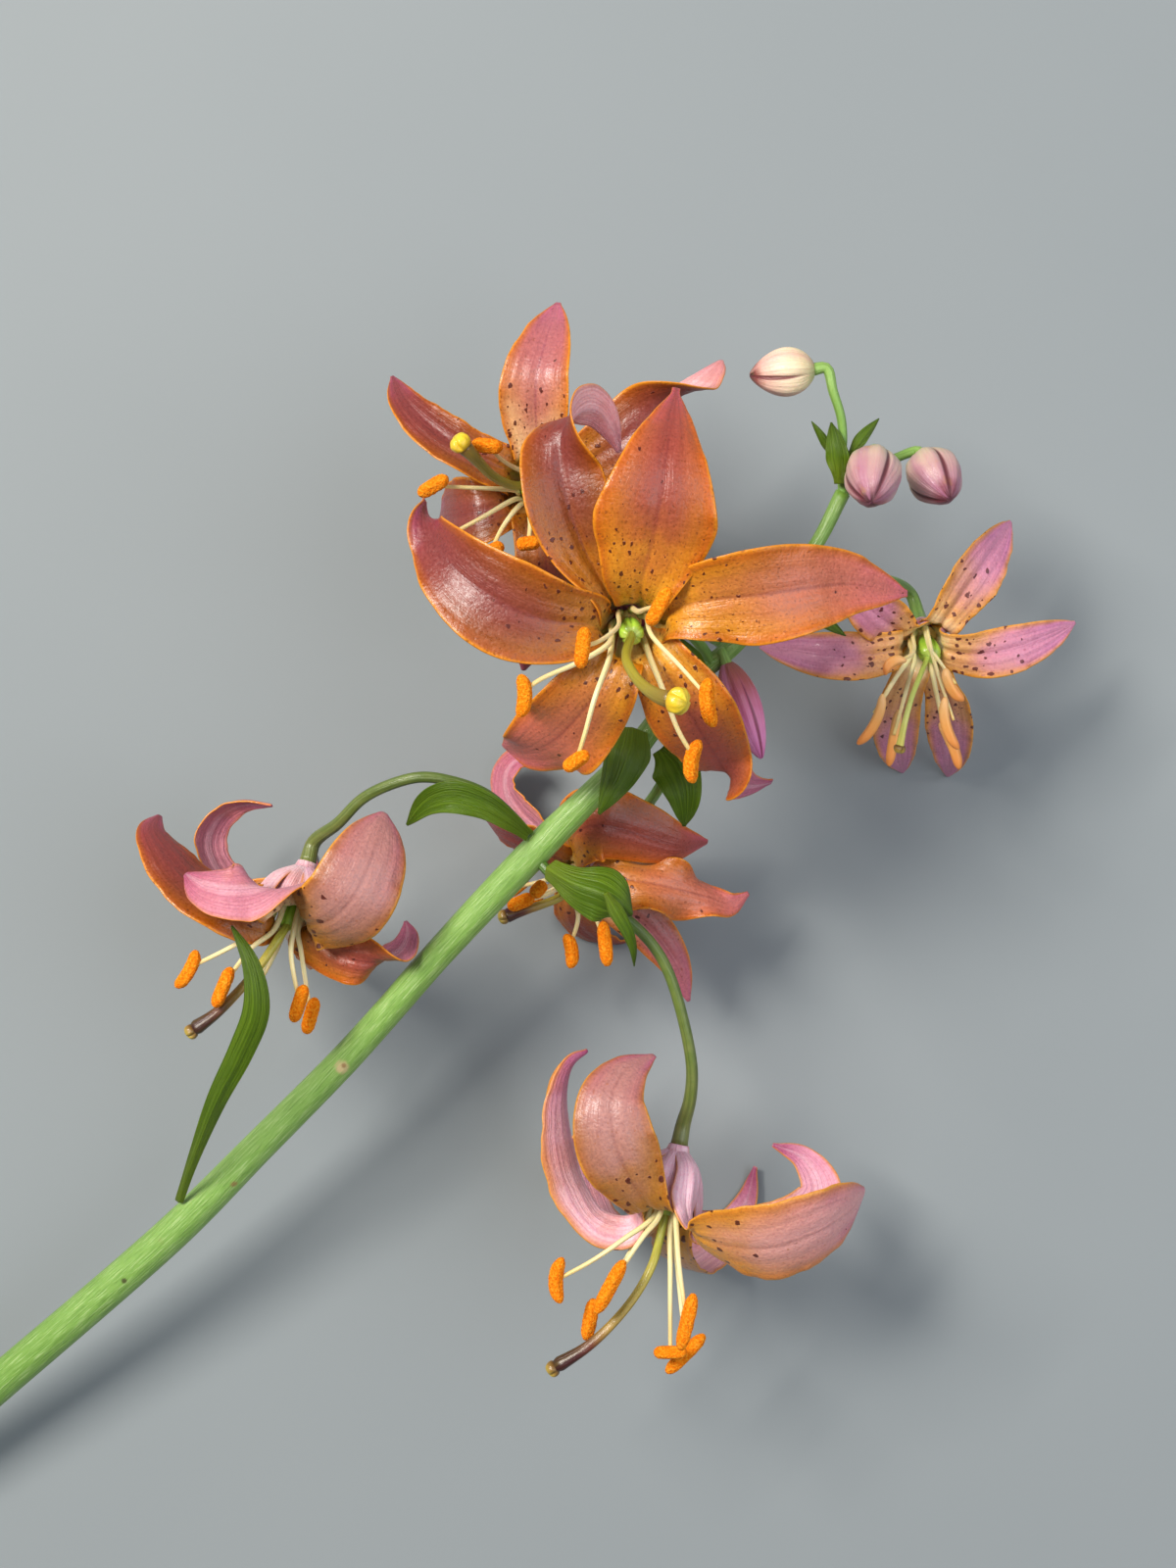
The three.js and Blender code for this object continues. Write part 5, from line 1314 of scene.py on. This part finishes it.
def addStem():
    s = stemSettings
    points = [seen(place) for place in s["way"]]
    parts = [addLimb("stem", points, stemRadius(points), s["grid"], finishes["stem"])]
    for number, bloom in enumerate(blooms):
        seat, mouth = bellOf(bloom)
        finish = "duskyStalk" if bloom["name"] in s["dusky"] else "stalk"
        parts.append(addStalk("stalk", bloom["stalk"], seat, seat, mouth, s["stalk"], finish, number + 1))
    for number, bud in enumerate(buds):
        foot = seen(bud["foot"])
        mouth = (seen(bud["tip"]) - foot).normalized()
        top = foot + stamenSettings["gap"] * mm * mouth
        parts.append(addStalk("budStalk", bud["stalk"], foot, top, mouth, s["budStalk"], "stalk", number + 8))
    piece = joinPieces("stemAndStalks", parts)
    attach(piece, "root")
    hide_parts("stem")


addStem()
print("made stem")


# Leaves and bracts

leaves = [
    dict(name="leaf_long", wide=4.6, fold=0.3, foot=0.35, belly=0.74, rib=[
        (182, 1227.5, 24.3), (198, 1180, 33), (221, 1122, 42), (246, 1072, 48), (261, 1030, 51),
        (256, 985, 51), (236, 944, 48)]),
    dict(name="leaf_left", wide=5.4, fold=-0.5, belly=0.6, rib=[
        (539, 852, 39.9), (519, 837, 44.5), (492, 820, 47.3), (462, 812, 48), (438, 819, 46),
        (415, 842, 43)]),
    dict(name="leaf_keel", wide=9.6, fold=0.75, belly=0.6, point=2.2, rib=[
        (557, 885, 40.7), (586, 902, 44.5), (612, 911, 46.5), (632, 922, 46.5), (645, 934, 45)]),
    dict(name="leaf_keel_tip", wide=2.6, fold=0.2, belly=0.25, rib=[
        (618, 911, 47.9), (630, 932, 47.6), (640, 950, 46.8), (646, 968, 45.4), (647, 986, 43.5)]),
    dict(name="leaf_front", wide=8, fold=0.3, foot=0.7, belly=0.3, point=1.2, rib=[
        (645, 742, 45.5), (641, 765, 48), (632, 790, 48), (621, 812, 47.5), (611, 831, 46)]),
    dict(name="leaf_hood", wide=8.5, fold=-0.4, belly=0.3, point=1.2, rib=[
        (674, 764, 40), (688, 781, 41), (697, 805, 42), (699, 825, 41), (698, 843, 39)]),
    dict(name="bract_a", wide=2.6, fold=0.2, rib=[(720, 683, 46.4), (706, 668, 48.8), (694, 651, 50)]),
    dict(name="bract_e", wide=2.6, fold=0.2, rib=[(816, 614, 43.8), (838, 631, 45), (863, 649, 44)]),
    dict(name="bract_buds", wide=4, fold=0.15, rib=[
        (856, 494, 47.1), (856, 476, 47.9), (853, 455, 48.4), (848, 431, 47.4)]),
    dict(name="bract_buds_narrow", wide=1.6, fold=0.2, rib=[
        (850, 467, 45), (839, 446, 46), (828, 430, 45.5)]),
    dict(name="bract_buds_back", wide=2.2, fold=0.2, rib=[
        (866, 466, 44.8), (880, 446, 44.6), (897, 427, 44.2)]),
]

leafSettings = dict(
    columns=12, rows=32, thick=0.5, edgeThin=0.45,
    neck=0.0, belly=0.42, point=1.5, foot=0.4,  # foot is its width there, as a share of the widest place
    furrow=0.22, furrowWide=0.4, rib=0.05, ruffle=0.3,
)


def leafRelief(u, v, width, number):
    s = leafSettings
    furrow = -s["furrow"] * np.exp(-(v * width / s["furrowWide"]) ** 2)
    ribs = s["rib"] * np.cos(7 * np.pi * v)
    ruffle = s["ruffle"] * np.sin(17 * u + 2.7 * number + 1.5 * np.sign(v)) * smooth(np.abs(v), 0.4, 1.0)
    relief = furrow + ribs + ruffle * np.minimum(1, width / 3)
    return smooth(u, 0.0, 0.15) * relief * np.minimum(1, width / 1.5)


def addLeaf(leaf, number):
    s = leafSettings
    rib = [seen(place) for place in leaf["rib"]]
    side = (rib[1] - rib[0]).cross(Vector((0, 0, 1))).normalized()
    foot = leaf["wide"] * leaf.get("foot", s["foot"])
    look = dict(s, relief=leafRelief, footWide=foot, neckWide=foot)
    look.update({k: v for k, v in leaf.items() if k not in ("name", "rib", "foot")})
    piece = addBlade("leaf", rib, side, look, [finishes["leaf"], finishes["leafBack"]], number)
    words = leaf["name"].split("_")
    piece = joinPieces(words[0] + "".join(word.title() for word in words[1:]), [piece])
    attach(piece, "root")
    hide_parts(leaf["name"])


for number, leaf in enumerate(leaves):
    addLeaf(leaf, number)
print("made leaves")


# Table, light and camera

stageSettings = dict(
    floor="868d8f", floorDark="7c8487", floorSize=3.0,
    key=dict(at=(-0.56, 0.46, 0.92), size=0.42, power=19.0, colour="fff8f0"),
    fill=dict(at=(0.62, 0.05, 0.8), size=0.9, power=6.0, colour="f0f4ff"),
    sky="d8dde0", skyStrength=0.3,
)


def addStage():
    s = stageSettings
    bpy.ops.object.select_all(action="DESELECT")
    bpy.ops.mesh.primitive_plane_add(size=s["floorSize"])
    floor = bpy.context.object
    floor.name = "floor"
    material, tree, surface = newMaterial("pale table", 0.75)
    where = addNode(tree, "TexCoord").outputs["Object"]
    cloud = noise(tree, where, 6.0, 3.0)[0]
    colour = tint(tree, tone(s["floor"]), s["floorDark"], fade(tree, cloud, 0.3, 0.7, 0.0, 0.3))
    tree.links.new(colour, surface["Base Color"])
    floor.data.materials.append(material)
    for name in ("key", "fill"):
        lamp = s[name]
        bpy.ops.object.light_add(type="AREA", location=lamp["at"])
        light = bpy.context.object
        light.name = name + "Light"
        light.data.size = lamp["size"]
        light.data.energy = lamp["power"]
        light.data.color = tone(lamp["colour"])[:3]
        light.rotation_mode = "QUATERNION"
        light.rotation_quaternion = Vector(lamp["at"]).to_track_quat("Z", "Y")
    world = bpy.data.worlds.new("soft sky")
    world.use_nodes = True
    background = world.node_tree.nodes["Background"].inputs
    background["Color"].default_value = tone(s["sky"])
    background["Strength"].default_value = s["skyStrength"]
    bpy.context.scene.world = world


def addCamera():
    middle = seen((*eye["pictureCentre"], eye["scaleHeight"]))
    bpy.ops.object.camera_add(location=(middle.x, middle.y, eye["height"] * mm), rotation=(0, 0, 0))
    camera = bpy.context.object
    distance = eye["height"] - eye["scaleHeight"]
    camera.data.sensor_width = eye["sensor"]
    camera.data.lens = eye["sensor"] * distance / (eye["pictureLong"] * eye["mmPerPixel"])
    camera.data.clip_start = 0.01
    bpy.context.scene.camera = camera


addStage()
addCamera()
bpy.context.scene.view_settings.view_transform = "Standard"
